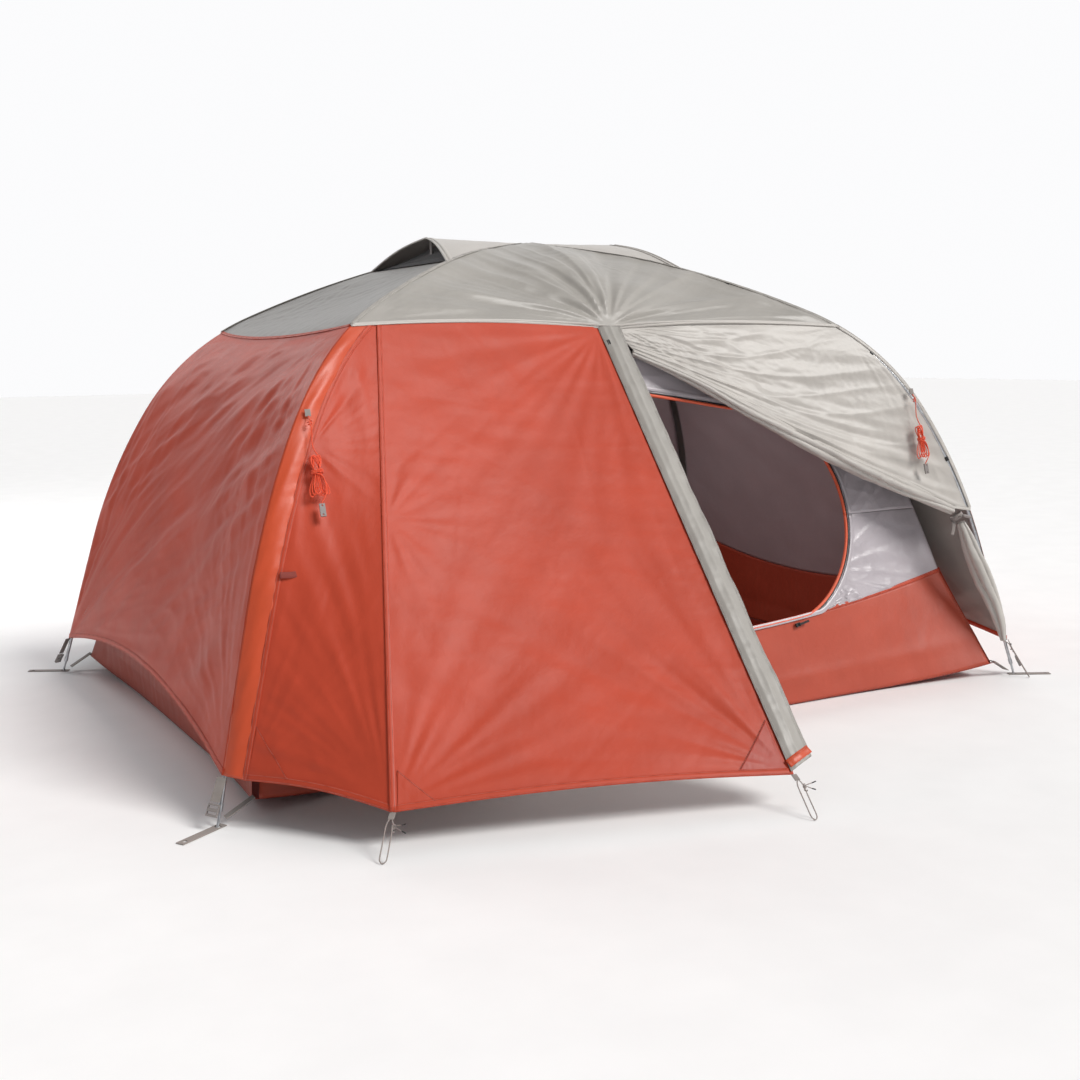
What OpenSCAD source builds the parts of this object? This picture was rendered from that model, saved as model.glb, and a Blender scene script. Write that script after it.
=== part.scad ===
// Two-person dome tent: crossed bowed poles, a short brow pole, an inner tent with a
// bathtub floor, and a fly with a vestibule on each long side.
// X runs along the tent, Y across it (front is -Y), Z up from the ground under the hub.

/* [Poles] */
// Length of one pole section
section_len = 412; // [380:1:440]
// Outside diameter of the pole tube
pole_d = 8.5; // [7:0.5:12]
// Angle of the crossed poles from the X axis, seen from above
plan_angle = 33.6; // [28:0.1:40]
// Bend radius of the brow pole
brow_r = 500; // [450:10:600]
// Half sweep of the brow pole
brow_sweep = 59; // [50:1:65]

/* [Fly] */
// Distance from a pole's centre line to the fly over it
fly_gap = 8; // [7:0.5:12]
// Thickness of every sheet of cloth
cloth_t = 2; // [2:0.5:4]
// Height of the fly's hem above the ground at the vestibules
hem_z = 74; // [50:2:100]
// Rise of the end hem between its two corners, in pole sections
end_hem_rise = 0.2; // [0:0.05:0.4]

/* [Vestibule] */
// Distance of the vestibule's side stake point from the tent's centre, along X
stake_x = 916; // [850:1:980]
// Distance of that point from the centre, along Y
stake_y = 1070; // [1000:5:1150]
// Offset of the zipped apex from the centre, along X
apex_x = 126; // [60:2:200]
// Distance of the zipped apex from the centre, along Y
apex_y = 1300; // [1200:5:1350]

/* [Inner tent] */
// Half width of the inner tent at the ground
inner_half_y = 715; // [650:5:740]
// How far its long walls lean in for each millimetre of height
inner_lean = 0.32; // [0.2:0.01:0.4]
// Gap between the end walls and the plane of the poles
inner_gap_x = 62; // [40:2:90]
// Height of the top ring of the walls
inner_top_z = 930; // [880:5:940]
// Height of the mesh roof under the hub
inner_peak_z = 1165; // [1120:5:1180]
// Height of the bathtub wall at the middle of each side
tub_z = 205; // [150:5:240]
// Extra height of the bathtub wall at the corners
tub_corner_z = 95; // [50:5:120]

/* [Doors] */
// Radius of the rounded end of the inner doors
door_r = 300; // [250:5:320]
// Distance of that rounded end's centre from the middle of the wall
door_centre_x = 400; // [300:10:450]
// Distance of the straight, sewn side of the inner doors from the middle
door_hinge_x = 400; // [300:10:450]

/* [Vents] */
// Distance of the hood's raised edge from the hub
vent_x = 305; // [260:5:340]
// Length of the prop that holds the hood up
vent_prop = 42; // [30:1:50]

/* [Guylines and webbing] */
// Length of a folded guyline hank
hank_len = 196; // [150:2:230]
// Width of the corner webbing
webbing_w = 20; // [15:1:25]
// Radius of the stake grommet in each webbing tail
grommet_r = 5; // [4:0.5:7]
// Radius of the cord in the stake loops
loop_cord_r = 1.25; // [1:0.25:2]

/* [Hidden] */
$fn = 48;

// Bend of each section, in degrees, from the hub to the foot
bends = [15, 8, 34, 16, 0];
sections = len(bends);
pole_r = pole_d / 2;
orange = "#c0553f";
grey = "#a8a49f";
pale_grey = "#c8c4be";
lilac = "#b3a8b3";
plastic = "#77736f";
strap_grey = "#8c8681";
cord_orange = "#e65a32";
dark_red = "#6e2418";
CORNERS = [[-1, -1], [1, -1], [-1, 1], [1, 1]];

// Pole sections along which the fly changes panel, counted from the hub
vent_t = 1.07;
vent_inner_t = 0.8;
eave_t = 2.2;
tie_t = 3.8;
hem_t = 4.75;
// Half the gap between neighbouring pieces of cloth, in sections
seam_t = 0.003;

// ---- The poles' curve, as [distance from the centre, height] ----
function sum_to(list, n) = n <= 0 ? 0 : list[n - 1] + sum_to(list, n - 1);
function rad(a) = a * PI / 180;
function chord(len, bend) = bend == 0 ? len : 2 * len / rad(bend) * sin(bend / 2);
function piece(head, len, bend) =
    chord(len, bend) * [cos(head + bend / 2), -sin(head + bend / 2)];
function joint_at(i) =
    i == 0 ? [0, 0] : joint_at(i - 1) + piece(sum_to(bends, i - 1), section_len, bends[i - 1]);
foot_r = joint_at(sections)[0];
hub_z = -joint_at(sections)[1];
function heading(t) =
    let (i = min(floor(t), sections - 1))
    sum_to(bends, i) + bends[i] * (t - i);
function arch(t, out = 0) =
    let (i = min(floor(t), sections - 1), part = t - i, h = heading(t))
    [0, hub_z] + joint_at(i) + piece(sum_to(bends, i), section_len * part, bends[i] * part)
    + out * [sin(h), cos(h)];
function turn(c, p) = [c[0] * cos(plan_angle) * p[0], c[1] * sin(plan_angle) * p[0], p[1]];
// A point on the pole of corner c, and one on the fly over it
function arm(c, t, out = 0) = turn(c, arch(t, out));
hub_rise = 14;
hub_spread = 0.6;
function fly_arm(c, t) =
    arm(c, t, fly_gap) + [0, 0, hub_rise * pow(max(0, 1 - t / hub_spread), 2)];

// ---- The brow pole's curve in the YZ plane ----
brow_z = hub_z + 15;
function brow(side, a, out = 0) =
    [0, side * (brow_r + out) * sin(a), brow_z - brow_r + (brow_r + out) * cos(a)];

// ---- Small vector helpers ----
function mix(a, b, f) = a + (b - a) * f;
function unit(v) = v / norm(v);
function mirror_x(p) = [-p[0], p[1], p[2]];
function half_turn(p) = [-p[0], -p[1], p[2]];
function steps(a, b, n) = [for (i = [0:n]) a + (b - a) * i / n];

// ---- Builders ----
// A sheet of cloth from a grid of points, thickened along back
module sheet(grid, back) {
    rows = len(grid);
    cols = len(grid[0]);
    count = rows * cols;
    face = [for (row = grid) each row];
    points = concat(face, [for (p = face) p + back]);
    last = grid[rows - 1];
    lean = cross(last[0] - grid[rows - 2][0], last[1] - last[0]) * back;
    flip = lean > 0;
    ring = concat(
        [for (j = [0:cols - 1]) j],
        [for (i = [1:rows - 1]) i * cols + cols - 1],
        [for (j = [cols - 2:-1:0]) (rows - 1) * cols + j],
        [for (i = [rows - 2:-1:1]) i * cols]
    );
    cells = [for (i = [0:rows - 2], j = [0:cols - 2]) i * cols + j];
    top = [for (k = cells) each [[k, k + 1, k + cols + 1], [k, k + cols + 1, k + cols]]];
    under = [for (f = top) [f[2] + count, f[1] + count, f[0] + count]];
    rim = [for (k = [0:len(ring) - 1])
        let (a = ring[k], b = ring[(k + 1) % len(ring)])
        each [[b, a, a + count], [b, a + count, b + count]]];
    faces = concat(top, under, rim);
    polyhedron(points, flip ? faces : [for (f = faces) [f[2], f[1], f[0]]]);
}

// A round tube swept along points, with one radius for each point
module tube(path, radii, sides = 10) {
    n = len(path);
    dirs = [for (i = [0:n - 1]) unit(path[min(i + 1, n - 1)] - path[max(i - 1, 0)])];
    ring_of = function(i)
        let (
            d = dirs[i],
            side = unit(cross(d, abs(d[2]) < 0.9 ? [0, 0, 1] : [0, 1, 0])),
            other = cross(side, d)
        )
        [for (k = [0:sides - 1])
            path[i] + radii[i] * (side * cos(360 * k / sides) + other * sin(360 * k / sides))];
    points = [for (i = [0:n - 1]) each ring_of(i)];
    walls = [for (i = [0:n - 2], k = [0:sides - 1])
        let (a = i * sides + k, b = i * sides + (k + 1) % sides)
        each [[a, b, b + sides], [a, b + sides, a + sides]]];
    caps = [
        [for (k = [sides - 1:-1:0]) k],
        [for (k = [0:sides - 1]) (n - 1) * sides + k]
    ];
    polyhedron(points, concat(walls, caps));
}

// Puts children at a, with their X axis towards b and their Z axis near up
module aim(a, b, up) {
    x = unit(b - a);
    y = unit(cross(up, x));
    z = cross(x, y);
    multmatrix([
        [x[0], y[0], z[0], a[0]],
        [x[1], y[1], z[1], a[1]],
        [x[2], y[2], z[2], a[2]],
        [0, 0, 0, 1]
    ]) children();
}

// A flat strap from a to b
module strap(a, b, up, width, thick) {
    aim(a, b, up) translate([0, -width / 2, 0]) cube([norm(b - a), width, thick]);
}

// ---- Poles ----
ferrule_len = 44;
ferrule_r = pole_r + 0.75;
hub_socket_start = 14;
tip_len = 46;

// One bent section, drawn from its start along +X and bending down
module bent_tube(len, bend, r) {
    if (bend == 0) {
        rotate([0, 90, 0]) cylinder(r = r, h = len);
    } else {
        bend_r = len / rad(bend);
        translate([0, 0, -bend_r])
            rotate([90, 0, 0])
                rotate([0, 0, 90 - bend])
                    rotate_extrude(angle = bend) translate([bend_r, 0]) circle(r = r);
    }
}

module pole_piece(c, t0, t1, r) {
    p = arch(t0);
    i = floor(t0);
    rotate([0, 0, atan2(c[1] * sin(plan_angle), c[0] * cos(plan_angle))])
        translate([p[0], 0, p[1]])
            rotate([0, heading(t0), 0])
                bent_tube(section_len * (t1 - t0), bends[i] * (t1 - t0), r);
}

module pole_arm(c) {
    cut = ferrule_len / 2 / section_len;
    for (i = [0:sections - 1]) {
        start = i == 0 ? hub_socket_start / section_len : cut;
        stop = i == sections - 1 ? tip_len / section_len : cut;
        pole_piece(c, i + start, i + 1 - stop, pole_r);
    }
}

module pole_a() {
    color("silver") {
        pole_arm([-1, -1]);
        pole_arm([1, 1]);
    }
}

module pole_b() {
    color("silver") {
        pole_arm([1, -1]);
        pole_arm([-1, 1]);
    }
}

module pole_ferrules() {
    cut = ferrule_len / 2 / section_len;
    color("gray") for (c = CORNERS, i = [1:sections - 1])
        aim(arm(c, i - cut), arm(c, i + cut), [0, 0, 1])
            rotate([0, 90, 0]) cylinder(r = ferrule_r, h = norm(arm(c, i + cut) - arm(c, i - cut)));
}

// Plastic tip with a thin pin that stands in the webbing
tip_shoulder = 14;
tip_pin_r = 3;
tip_chamfer = 1;
module pole_tip(len) {
    rotate_extrude() polygon([
        [0, 0], [pole_r + 1, 0], [pole_r + 1, tip_shoulder], [tip_pin_r, tip_shoulder],
        [tip_pin_r, len - tip_chamfer], [tip_pin_r - tip_chamfer, len], [0, len]
    ]);
}

module pole_tips() {
    color(plastic) {
        for (c = CORNERS) {
            top = arm(c, sections - tip_len / section_len);
            low = arm(c, sections) + [0, 0, tip_chamfer];
            aim(top, low, [1, 0, 0]) rotate([0, 90, 0]) pole_tip(norm(low - top));
        }
        for (side = [-1, 1])
            aim(brow(side, brow_sweep), brow(side, brow_sweep + 1), [1, 0, 0])
                rotate([0, 90, 0]) cylinder(r = pole_r + 1, h = brow_tip_len);
    }
}

hub_r = 17;
hub_h = 16;
socket_len = 34;
socket_r = pole_r + 2.5;
socket_bore = pole_r + 0.45;
module hub_socket(r, start, stop) {
    for (c = CORNERS)
        aim([0, 0, hub_z], [0, 0, hub_z] + turn(c, [1, 0]), [0, 0, 1])
            translate([start, 0, 0]) rotate([0, 90, 0]) cylinder(r = r, h = stop - start);
}

module pole_hub() {
    color(plastic) difference() {
        union() {
            translate([0, 0, hub_z - hub_h / 2]) cylinder(r = hub_r, h = hub_h);
            hub_socket(socket_r, hub_socket_start, socket_len);
        }
        hub_socket(socket_bore, hub_socket_start - 1, socket_len + 1);
    }
}

saddle_len = 30;
saddle_r = pole_r + 2.2;
module hub_saddle() {
    color(plastic) difference() {
        union() {
            translate([0, 0, brow_z]) rotate([90, 0, 0])
                cylinder(r = saddle_r, h = saddle_len, center = true);
            translate([0, 0, hub_z + hub_h / 2 + 0.2])
                cylinder(r = saddle_r - 1, h = brow_z - hub_z - hub_h / 2 - 0.2);
        }
        translate([0, 0, brow_z]) rotate([90, 0, 0])
            cylinder(r = pole_r + 0.5, h = 2 * saddle_len, center = true);
    }
}

brow_tip_len = 16;
module brow_pole() {
    color("silver") rotate([0, 0, 90]) for (side = [0, 180])
        rotate([0, 0, side]) translate([0, 0, brow_z])
            bent_tube(rad(brow_sweep) * brow_r, brow_sweep, pole_r);
}

// C-clips that hang the inner tent from the poles
clip_ts = [1.4, 2.5, 3.4, 4.3];
clip_len = 12;
clip_r = pole_r + 2;
clip_tab = 26;
module pole_clips() {
    color(plastic) for (c = CORNERS, t = clip_ts)
        aim(arm(c, t), arm(c, t + 0.01), [0, 0, 1]) {
            translate([-clip_len / 2, 0, 0]) rotate([0, 90, 0]) difference() {
                cylinder(r = clip_r, h = clip_len);
                translate([0, 0, -1]) cylinder(r = pole_r + 0.4, h = clip_len + 2);
            }
            translate([-clip_len / 2, -1.5, -clip_r - clip_tab]) cube([clip_len, 3, clip_tab + 1]);
        }
}

// ---- Inner tent ----
function inner_y(z) = inner_half_y - inner_lean * z;
// The section parameter at which the pole passes height z, by halving
function arch_t(z, lo = 0, hi = 5, n = 24) =
    n == 0 ? (lo + hi) / 2 :
    let (mid = (lo + hi) / 2)
    arch(mid)[1] > z ? arch_t(z, mid, hi, n - 1) : arch_t(z, lo, mid, n - 1);
function inner_x(z) = cos(plan_angle) * arch(arch_t(z))[0] - inner_gap_x;
function tub_top(u) = tub_z + tub_corner_z * u * u;
floor_half_x = 1093;
floor_half_y = 770;
floor_in_x = 52;
floor_in_y = 80;
corner_lift = 40;
floor_t = 2.5;
floor_margin = 6;
function tub_foot(f, along, across, inset) =
    [along * f, across - inset * (1 - pow(f, 4)), floor_t + corner_lift * pow(abs(f), 6)];

module inner_floor() {
    mid_x = floor_half_x - floor_in_x - floor_margin;
    mid_y = floor_half_y - floor_in_y - floor_margin;
    color(dark_red) linear_extrude(floor_t) polygon([
        for (q = [[1, 0], [0, 1], [-1, 0], [0, -1]]) each
            q[1] == 0
                ? [[q[0] * mid_x, -q[0] * 0.7 * mid_y], [q[0] * mid_x, q[0] * 0.7 * mid_y]]
                : [[q[1] * 0.85 * mid_x, q[1] * mid_y], [-q[1] * 0.85 * mid_x, q[1] * mid_y]]
    ]);
}

tub_cuts = [-0.985, -0.6, -0.2, 0.2, 0.6, 0.985];
tub_seam = 0.002;
module bathtub_walls() {
    color(orange) for (k = [0:len(tub_cuts) - 2]) {
        us = steps(tub_cuts[k] + tub_seam, tub_cuts[k + 1] - tub_seam, 2);
        for (side = [-1, 1]) {
            sheet([for (u = us)
                let (
                    foot = tub_foot(u, floor_half_x, floor_half_y, floor_in_y),
                    z = tub_top(u)
                )
                [[foot[0], side * foot[1], foot[2]], [u * inner_x(z), side * inner_y(z), z]]],
                [0, -side * cloth_t, 0]);
            sheet([for (u = us)
                let (
                    foot = tub_foot(u, floor_half_y, floor_half_x, floor_in_x),
                    z = tub_top(u)
                )
                [[side * foot[1], foot[0], foot[2]], [side * inner_x(z), u * inner_y(z), z]]],
                [-side * cloth_t, 0, 0]);
        }
    }
}

// The long walls are flat. Their own plane is [x, distance up the wall from the ground].
lean_angle = atan(inner_lean);
function up_wall(z) = z / cos(lean_angle);
wall_edge_gap = 14;
module in_front_wall() {
    translate([0, -inner_half_y, 0]) rotate([90 - lean_angle, 0, 0]) children();
}

module wall_outline() {
    tub_line = [for (u = steps(-1, 1, 10))
        [u * (inner_x(tub_top(u)) - wall_edge_gap), up_wall(tub_top(u) + 4)]];
    right = [for (z = [420, 560, 700, 820, inner_top_z])
        [inner_x(z) - wall_edge_gap, up_wall(z)]];
    polygon(concat(
        tub_line,
        right,
        [for (i = [len(right) - 1:-1:0]) [-right[i][0], right[i][1]]]
    ));
}

// D-shaped doorway: straight on one side, round on the other
door_low = 218;
door_high = 830;
door_top_x = 420;
module door_outline(shrink = 0) {
    door_mid = door_low + door_r;
    r = door_r - shrink;
    translate([door_centre_x, door_mid]) circle(r = r, $fn = 96);
    polygon([
        [-door_hinge_x + shrink, door_low + shrink],
        [door_centre_x, door_low + shrink],
        [door_centre_x + r * cos(60), door_mid + r * sin(60)],
        [-door_hinge_x + door_top_x, up_wall(door_high) - shrink],
        [-door_hinge_x + shrink, up_wall(door_high) - shrink]
    ]);
}

module inner_wall() {
    in_front_wall() linear_extrude(cloth_t) difference() {
        wall_outline();
        door_outline();
    }
}

module inner_front_wall() {
    color(lilac) inner_wall();
}

module inner_rear_wall() {
    color(lilac) rotate([0, 0, 180]) inner_wall();
}

end_wall_zs = [310, 450, 590, 710, 820, 926];
wall_seam = 0.8;
module inner_end_walls() {
    color(lilac) for (side = [-1, 1], k = [0:len(end_wall_zs) - 2]) {
        zs = [end_wall_zs[k] + wall_seam, end_wall_zs[k + 1] - wall_seam];
        sheet([for (z = zs)
            [for (v = [-1, 1]) [side * inner_x(z), v * (inner_y(z) - 4), z]]],
            [-side * cloth_t, 0, 0]);
    }
    // Lower strips that follow the bathtub's edge
    color(lilac) for (side = [-1, 1], v0 = [-0.96, -0.48, 0, 0.48])
        sheet([for (v = steps(v0 + tub_seam, v0 + 0.48 - tub_seam, 3))
            let (z = tub_top(v) + 4, top = end_wall_zs[0] - wall_seam)
            [[side * inner_x(z), v * inner_y(z), z], [side * inner_x(top), v * inner_y(top), top]]],
            [-side * cloth_t, 0, 0]);
}

// The mesh roof hangs in four parts below the poles
roof_bulge = 2.2;
function inner_ridge(c, f) =
    [c[0] * inner_x(inner_top_z) * f, c[1] * inner_y(inner_top_z) * f,
        inner_peak_z - (inner_peak_z - inner_top_z) * pow(f, roof_bulge)];
inner_roof_cuts = [0.03, 0.35, 0.65, 0.85, 0.99];
roof_seam = 0.004;
module inner_roof() {
    color("dimgray") for (k = [0:len(inner_roof_cuts) - 2]) {
        fs = [inner_roof_cuts[k] + roof_seam, inner_roof_cuts[k + 1] - roof_seam];
        pairs = [[[-1, -1], [-1, 1]], [[1, -1], [1, 1]], [[-1, -1], [1, -1]], [[-1, 1], [1, 1]]];
        for (pair = pairs)
            sheet([for (f = fs)
                let (a = inner_ridge(pair[0], f), b = inner_ridge(pair[1], f))
                [mix(a, b, 0.01), mix(a, b, 0.99)]],
                [0, 0, -cloth_t]);
    }
}

// The open front inner door is rolled to its sewn side and tied
inner_roll_radii = [16, 24, 27, 26, 27, 24, 15];
inner_roll_x = -door_hinge_x - 34;
inner_roll_in = 30;
module inner_front_door_roll() {
    ups = steps(door_low + 20, up_wall(door_high) - 40, len(inner_roll_radii) - 1);
    color(lilac) in_front_wall()
        tube([for (up = ups) [inner_roll_x, up, -inner_roll_in]], inner_roll_radii, 12);
}

door_gap = 3;
module inner_rear_door() {
    color(lilac) rotate([0, 0, 180]) in_front_wall()
        linear_extrude(cloth_t) intersection() {
            wall_outline();
            door_outline(door_gap);
        }
}

slider_gap = 0.6;
slider_l = 16;
slider_w = 10;
slider_h = 5;
pull_l = 34;
pull_eye = 6;
pull_t = 1.6;
slider_angle = -80;
slider_out = 9;
module zip_slider() {
    translate([-slider_l / 2, -slider_w / 2, 0]) cube([slider_l, slider_w, slider_h]);
    translate([-slider_l / 2, -slider_w / 4, slider_h]) cube([slider_l / 2, slider_w / 2, 2]);
    translate([-slider_l / 2 - pull_l + pull_eye, -pull_eye / 2, slider_h + 2])
        cube([pull_l, pull_eye, pull_t]);
}

module inner_zip_slider() {
    color("dimgray") in_front_wall()
        translate([door_centre_x, door_low + door_r, cloth_t + slider_gap])
            rotate([0, 0, slider_angle]) translate([door_r + slider_out, 0, 0])
                rotate([0, 0, -90]) zip_slider();
}

// ---- Fly: roof ----
// The eave seam runs from each pole to the end of the brow pole
function brow_end(side) = brow(side, brow_sweep, fly_gap) + [0, -side * 2, 2];
function roof_row(c, f) =
    let (t = eave_t * f)
    [fly_arm(c, t), brow(c[1], brow_sweep * f, fly_gap)];
roof_cuts = [0.02, 0.3, 0.55, 0.78, 1];
module half_roof(c) {
    for (k = [0:len(roof_cuts) - 2])
        sheet([for (f = steps(roof_cuts[k] + seam_t, roof_cuts[k + 1] - seam_t, 2))
            let (row = roof_row(c, f))
            [mix(row[0], row[1], 0.004), mix(row[0], row[1], 0.993)]],
            [0, 0, cloth_t]);
}

module roof_front() {
    color(grey) for (x = [-1, 1]) half_roof([x, -1]);
}

module roof_rear() {
    color(grey) for (x = [-1, 1]) half_roof([x, 1]);
}

end_roof_ts = [vent_t, 1.6, eave_t];
vent_inset = 0.06;
module end_roof(side) {
    for (k = [0:len(end_roof_ts) - 2])
        sheet([for (t = steps(end_roof_ts[k] + seam_t, end_roof_ts[k + 1] - seam_t, 2))
            let (a = fly_arm([side, -1], t), b = fly_arm([side, 1], t))
            [mix(a, b, 0.012), mix(a, b, 0.988)]],
            [0, 0, cloth_t]);
    // Tongue that runs up under the vent hood
    sheet([for (t = [vent_inner_t, vent_t - seam_t])
        let (a = fly_arm([side, -1], t), b = fly_arm([side, 1], t))
        [mix(a, b, vent_inset), mix(a, b, 1 - vent_inset)]],
        [0, 0, cloth_t]);
}

module roof_left() {
    color(grey) end_roof(-1);
}

module roof_right() {
    color(grey) end_roof(1);
}

// ---- Fly: end panels ----
end_ts = [eave_t, 2.5, 2.8, 3.15, 3.6, 4.1];
module end_panel(side) {
    for (k = [0:len(end_ts) - 2])
        sheet([for (t = [end_ts[k] + seam_t, end_ts[k + 1] - seam_t])
            let (a = fly_arm([side, -1], t), b = fly_arm([side, 1], t))
            [mix(a, b, 0.008), mix(a, b, 0.992)]],
            [-side * cloth_t, 0, 0]);
    last = end_ts[len(end_ts) - 1] + seam_t;
    for (v0 = [0.008, 0.254, 0.502, 0.748])
        sheet([for (v = steps(v0, v0 + 0.244, 3))
            let (low = hem_t - end_hem_rise * (1 - pow(2 * v - 1, 2)))
            [for (t = [last, low]) mix(fly_arm([side, -1], t), fly_arm([side, 1], t), v)]],
            [-side * cloth_t, 0, 0]);
}

module end_left() {
    color(orange) end_panel(-1);
}

module end_right() {
    color(orange) end_panel(1);
}

// ---- Fly: vestibules, drawn for the front and turned for the rear ----
side_stake = [-stake_x, -stake_y, hem_z];
apex = [-apex_x, -apex_y, hem_z];
zip_top = [-32, brow_end(-1)[1], brow_end(-1)[2] - 2];
eave_left = fly_arm([-1, -1], eave_t);
seam_top = mix(eave_left, brow_end(-1), 0.09);
out_front = [0, -cloth_t, 0];

function seam_at(z) = mix(seam_top, side_stake, (seam_top[2] - z) / (seam_top[2] - side_stake[2]));
corner_ts = [eave_t, 2.7, 3.2, 3.7, 4.2, hem_t];
// Keeps the cloth off the pole and its clips
ridge_gap = [0, -5, 0];

module corner_panel() {
    for (k = [0:len(corner_ts) - 2])
        sheet([for (t = steps(corner_ts[k] + seam_t, corner_ts[k + 1] - seam_t, 2))
            let (
                a = fly_arm([-1, -1], t),
                drop = (t - eave_t) / (hem_t - eave_t),
                b = mix(seam_at(a[2]), side_stake, pow(drop, 8))
            )
            [mix(a, b, 0.01) + ridge_gap, mix(a, b, 0.99)]],
            out_front);
}

panel_cuts = [0, 0.25, 0.5, 0.75, 1];
panel_seam = 0.001;
module main_panel() {
    for (k = [0:len(panel_cuts) - 2])
        sheet([for (f = [panel_cuts[k] + panel_seam, panel_cuts[k + 1] - panel_seam])
            let (a = mix(seam_top, side_stake, f), b = mix(zip_top, apex, f))
            [mix(a, b, 0.004), mix(a, b, 0.994)]],
            out_front);
}

module front_corner_panel() {
    color(orange) corner_panel();
}

module front_panel() {
    color(orange) main_panel();
}

module rear_corner_panel() {
    color(orange) rotate([0, 0, 180]) corner_panel();
}

module rear_panel() {
    color(orange) rotate([0, 0, 180]) main_panel();
}

// Fixed panels on the door side of the rear vestibule
far_stake = mirror_x(side_stake);
far_seam_top = mirror_x(seam_top);
module rear_side_panel() {
    color(orange) rotate([0, 0, 180]) {
        mirror([1, 0, 0]) corner_panel();
        sheet([
            [mix(zip_top, far_stake, 0.02), mix(zip_top, far_stake, 0.985)],
            [mix(far_seam_top, zip_top, 0.02), mix(far_seam_top, far_stake, 0.985)]
        ], out_front);
    }
}

// The closed rear door is a flat leaf between the zip, the hem and the fold line
leaf_gap = 0.012;
leaf_zip_gap = 16;
leaf_tip = 0.032;
module rear_door() {
    centre = (zip_top + apex + far_stake) / 3;
    a = mix(zip_top, mix(apex, far_stake, 0.5), leaf_tip);
    b = mix(apex, centre, leaf_gap) + unit(far_stake - apex) * leaf_zip_gap;
    c = mix(far_stake, centre, leaf_gap);
    back = unit(cross(b - a, c - a)) * cloth_t;
    color(orange) rotate([0, 0, 180]) polyhedron(
        [a, b, c, a + back, b + back, c + back],
        [[2, 1, 0], [3, 4, 5], [0, 1, 4], [0, 4, 3], [1, 2, 5], [1, 5, 4], [2, 0, 3], [2, 3, 5]]
    );
}

// Zips: a flat tape beside each panel's edge, and a storm flap over the front one
zip_dir = unit(apex - zip_top);
zip_out = unit(cross(zip_dir, [1, 0, 0]));
zip_margin = 30;
zip_start = zip_top + zip_margin * zip_dir;
zip_end = apex - 12 * zip_dir;
tape_w = 12;
tape_t = 1.5;
flap_w = 56;
flap_lift = 12;
module zip_tape() {
    strap(zip_start + [tape_w / 2, 0, 0], zip_end + [tape_w / 2, 0, 0], zip_out, tape_w, tape_t);
}

module zip_tapes() {
    color("dimgray") {
        zip_tape();
        rotate([0, 0, 180]) zip_tape();
    }
}

module front_storm_flap() {
    side = unit(cross(zip_out, zip_dir));
    across = side[0] > 0 ? side : -side;
    lift = zip_out * flap_lift;
    color(grey) sheet([
        [zip_top + lift, zip_top + lift + across * flap_w],
        [apex + lift - 6 * zip_dir, apex + lift - 34 * zip_dir + across * flap_w]
    ], zip_out * cloth_t);
}

slider_park = 26;
module placed_slider(along) {
    above_tape = zip_out * (tape_t + slider_gap) + [tape_w / 2, 0, 0];
    aim(zip_top + zip_dir * along + above_tape, apex + above_tape, zip_out)
        short_slider();
}

// The fly's sliders carry a cord pull instead of a long metal one
module short_slider() {
    translate([-slider_l / 2, -slider_w / 2, 0]) cube([slider_l, slider_w, slider_h]);
    translate([-slider_l / 2, -2, slider_h]) cube([slider_l, 4, 2]);
}

module front_zip_slider() {
    color("dimgray") placed_slider(zip_margin + slider_park);
}

zip_len = norm(zip_end - zip_start);
module rear_zip_slider() {
    color("dimgray") rotate([0, 0, 180]) placed_slider(zip_margin + zip_len - slider_park);
}

// ---- Front door, unzipped, rolled up and tied to the pole ----
roll_path = [
    [60, -446, 930], [200, -486, 866], [360, -532, 780], [520, -574, 694], [680, -612, 616],
    [840, -652, 546], [985, -692, 480]
];
roll_radii = [8, 13, 17, 20, 22, 22, 14];
bundle_path = [
    [1004, -706, 446], [1016, -716, 410], [1032, -728, 360], [1052, -742, 300], [1076, -760, 230],
    [1098, -776, 160], [1108, -784, 108]
];
bundle_radii = [13, 22, 27, 29, 26, 20, 9];
// The tie goes round the neck between the roll and the bundle
tie_point = (roll_path[6] + bundle_path[0]) / 2;
door_edge_t = [eave_t, 2.6, 3.0, 3.4, tie_t];

module front_door_panel() {
    lift = [0, 0, 22];
    eave = [for (f = [0.03, 0.5, 0.985]) mix(brow_end(-1), fly_arm([1, -1], eave_t), f) - [0, 0, 4]];
    edge = [roll_path[0] + lift, roll_path[2] + lift, roll_path[3] + lift * 1.3];
    low = [roll_path[3] + lift * 1.3, roll_path[4] + lift * 1.4, roll_path[5] + lift * 1.4,
        roll_path[6] + lift * 1.4];
    color(pale_grey) {
        sheet([edge, eave], out_front);
        for (k = [0:len(low) - 2])
            sheet([
                [for (f = [0.01, 0.99]) mix(low[k], low[k + 1], f)],
                [for (t = [door_edge_t[k] + seam_t, door_edge_t[k + 1] - seam_t])
                    fly_arm([1, -1], t) - [12, 0, 0]]
            ], out_front);
    }
}

module front_door_roll() {
    color(pale_grey) tube(roll_path, roll_radii, 12);
}

module front_door_bundle() {
    color(pale_grey) tube(bundle_path, bundle_radii, 12);
}

tie_r = 20;
tie_cord_r = 2.4;
toggle_r = 4;
toggle_from = [-6, -34, 4];
toggle_to = [28, -40, -4];
module door_tie() {
    color(plastic) {
        aim(tie_point, bundle_path[0], [0, 0, 1]) rotate([0, 90, 0])
            rotate_extrude() translate([tie_r, 0]) circle(r = tie_cord_r);
        aim(tie_point + toggle_from, tie_point + toggle_to, [0, 0, 1])
            rotate([0, 90, 0]) cylinder(r = toggle_r, h = norm(toggle_to - toggle_from));
    }
}

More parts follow.
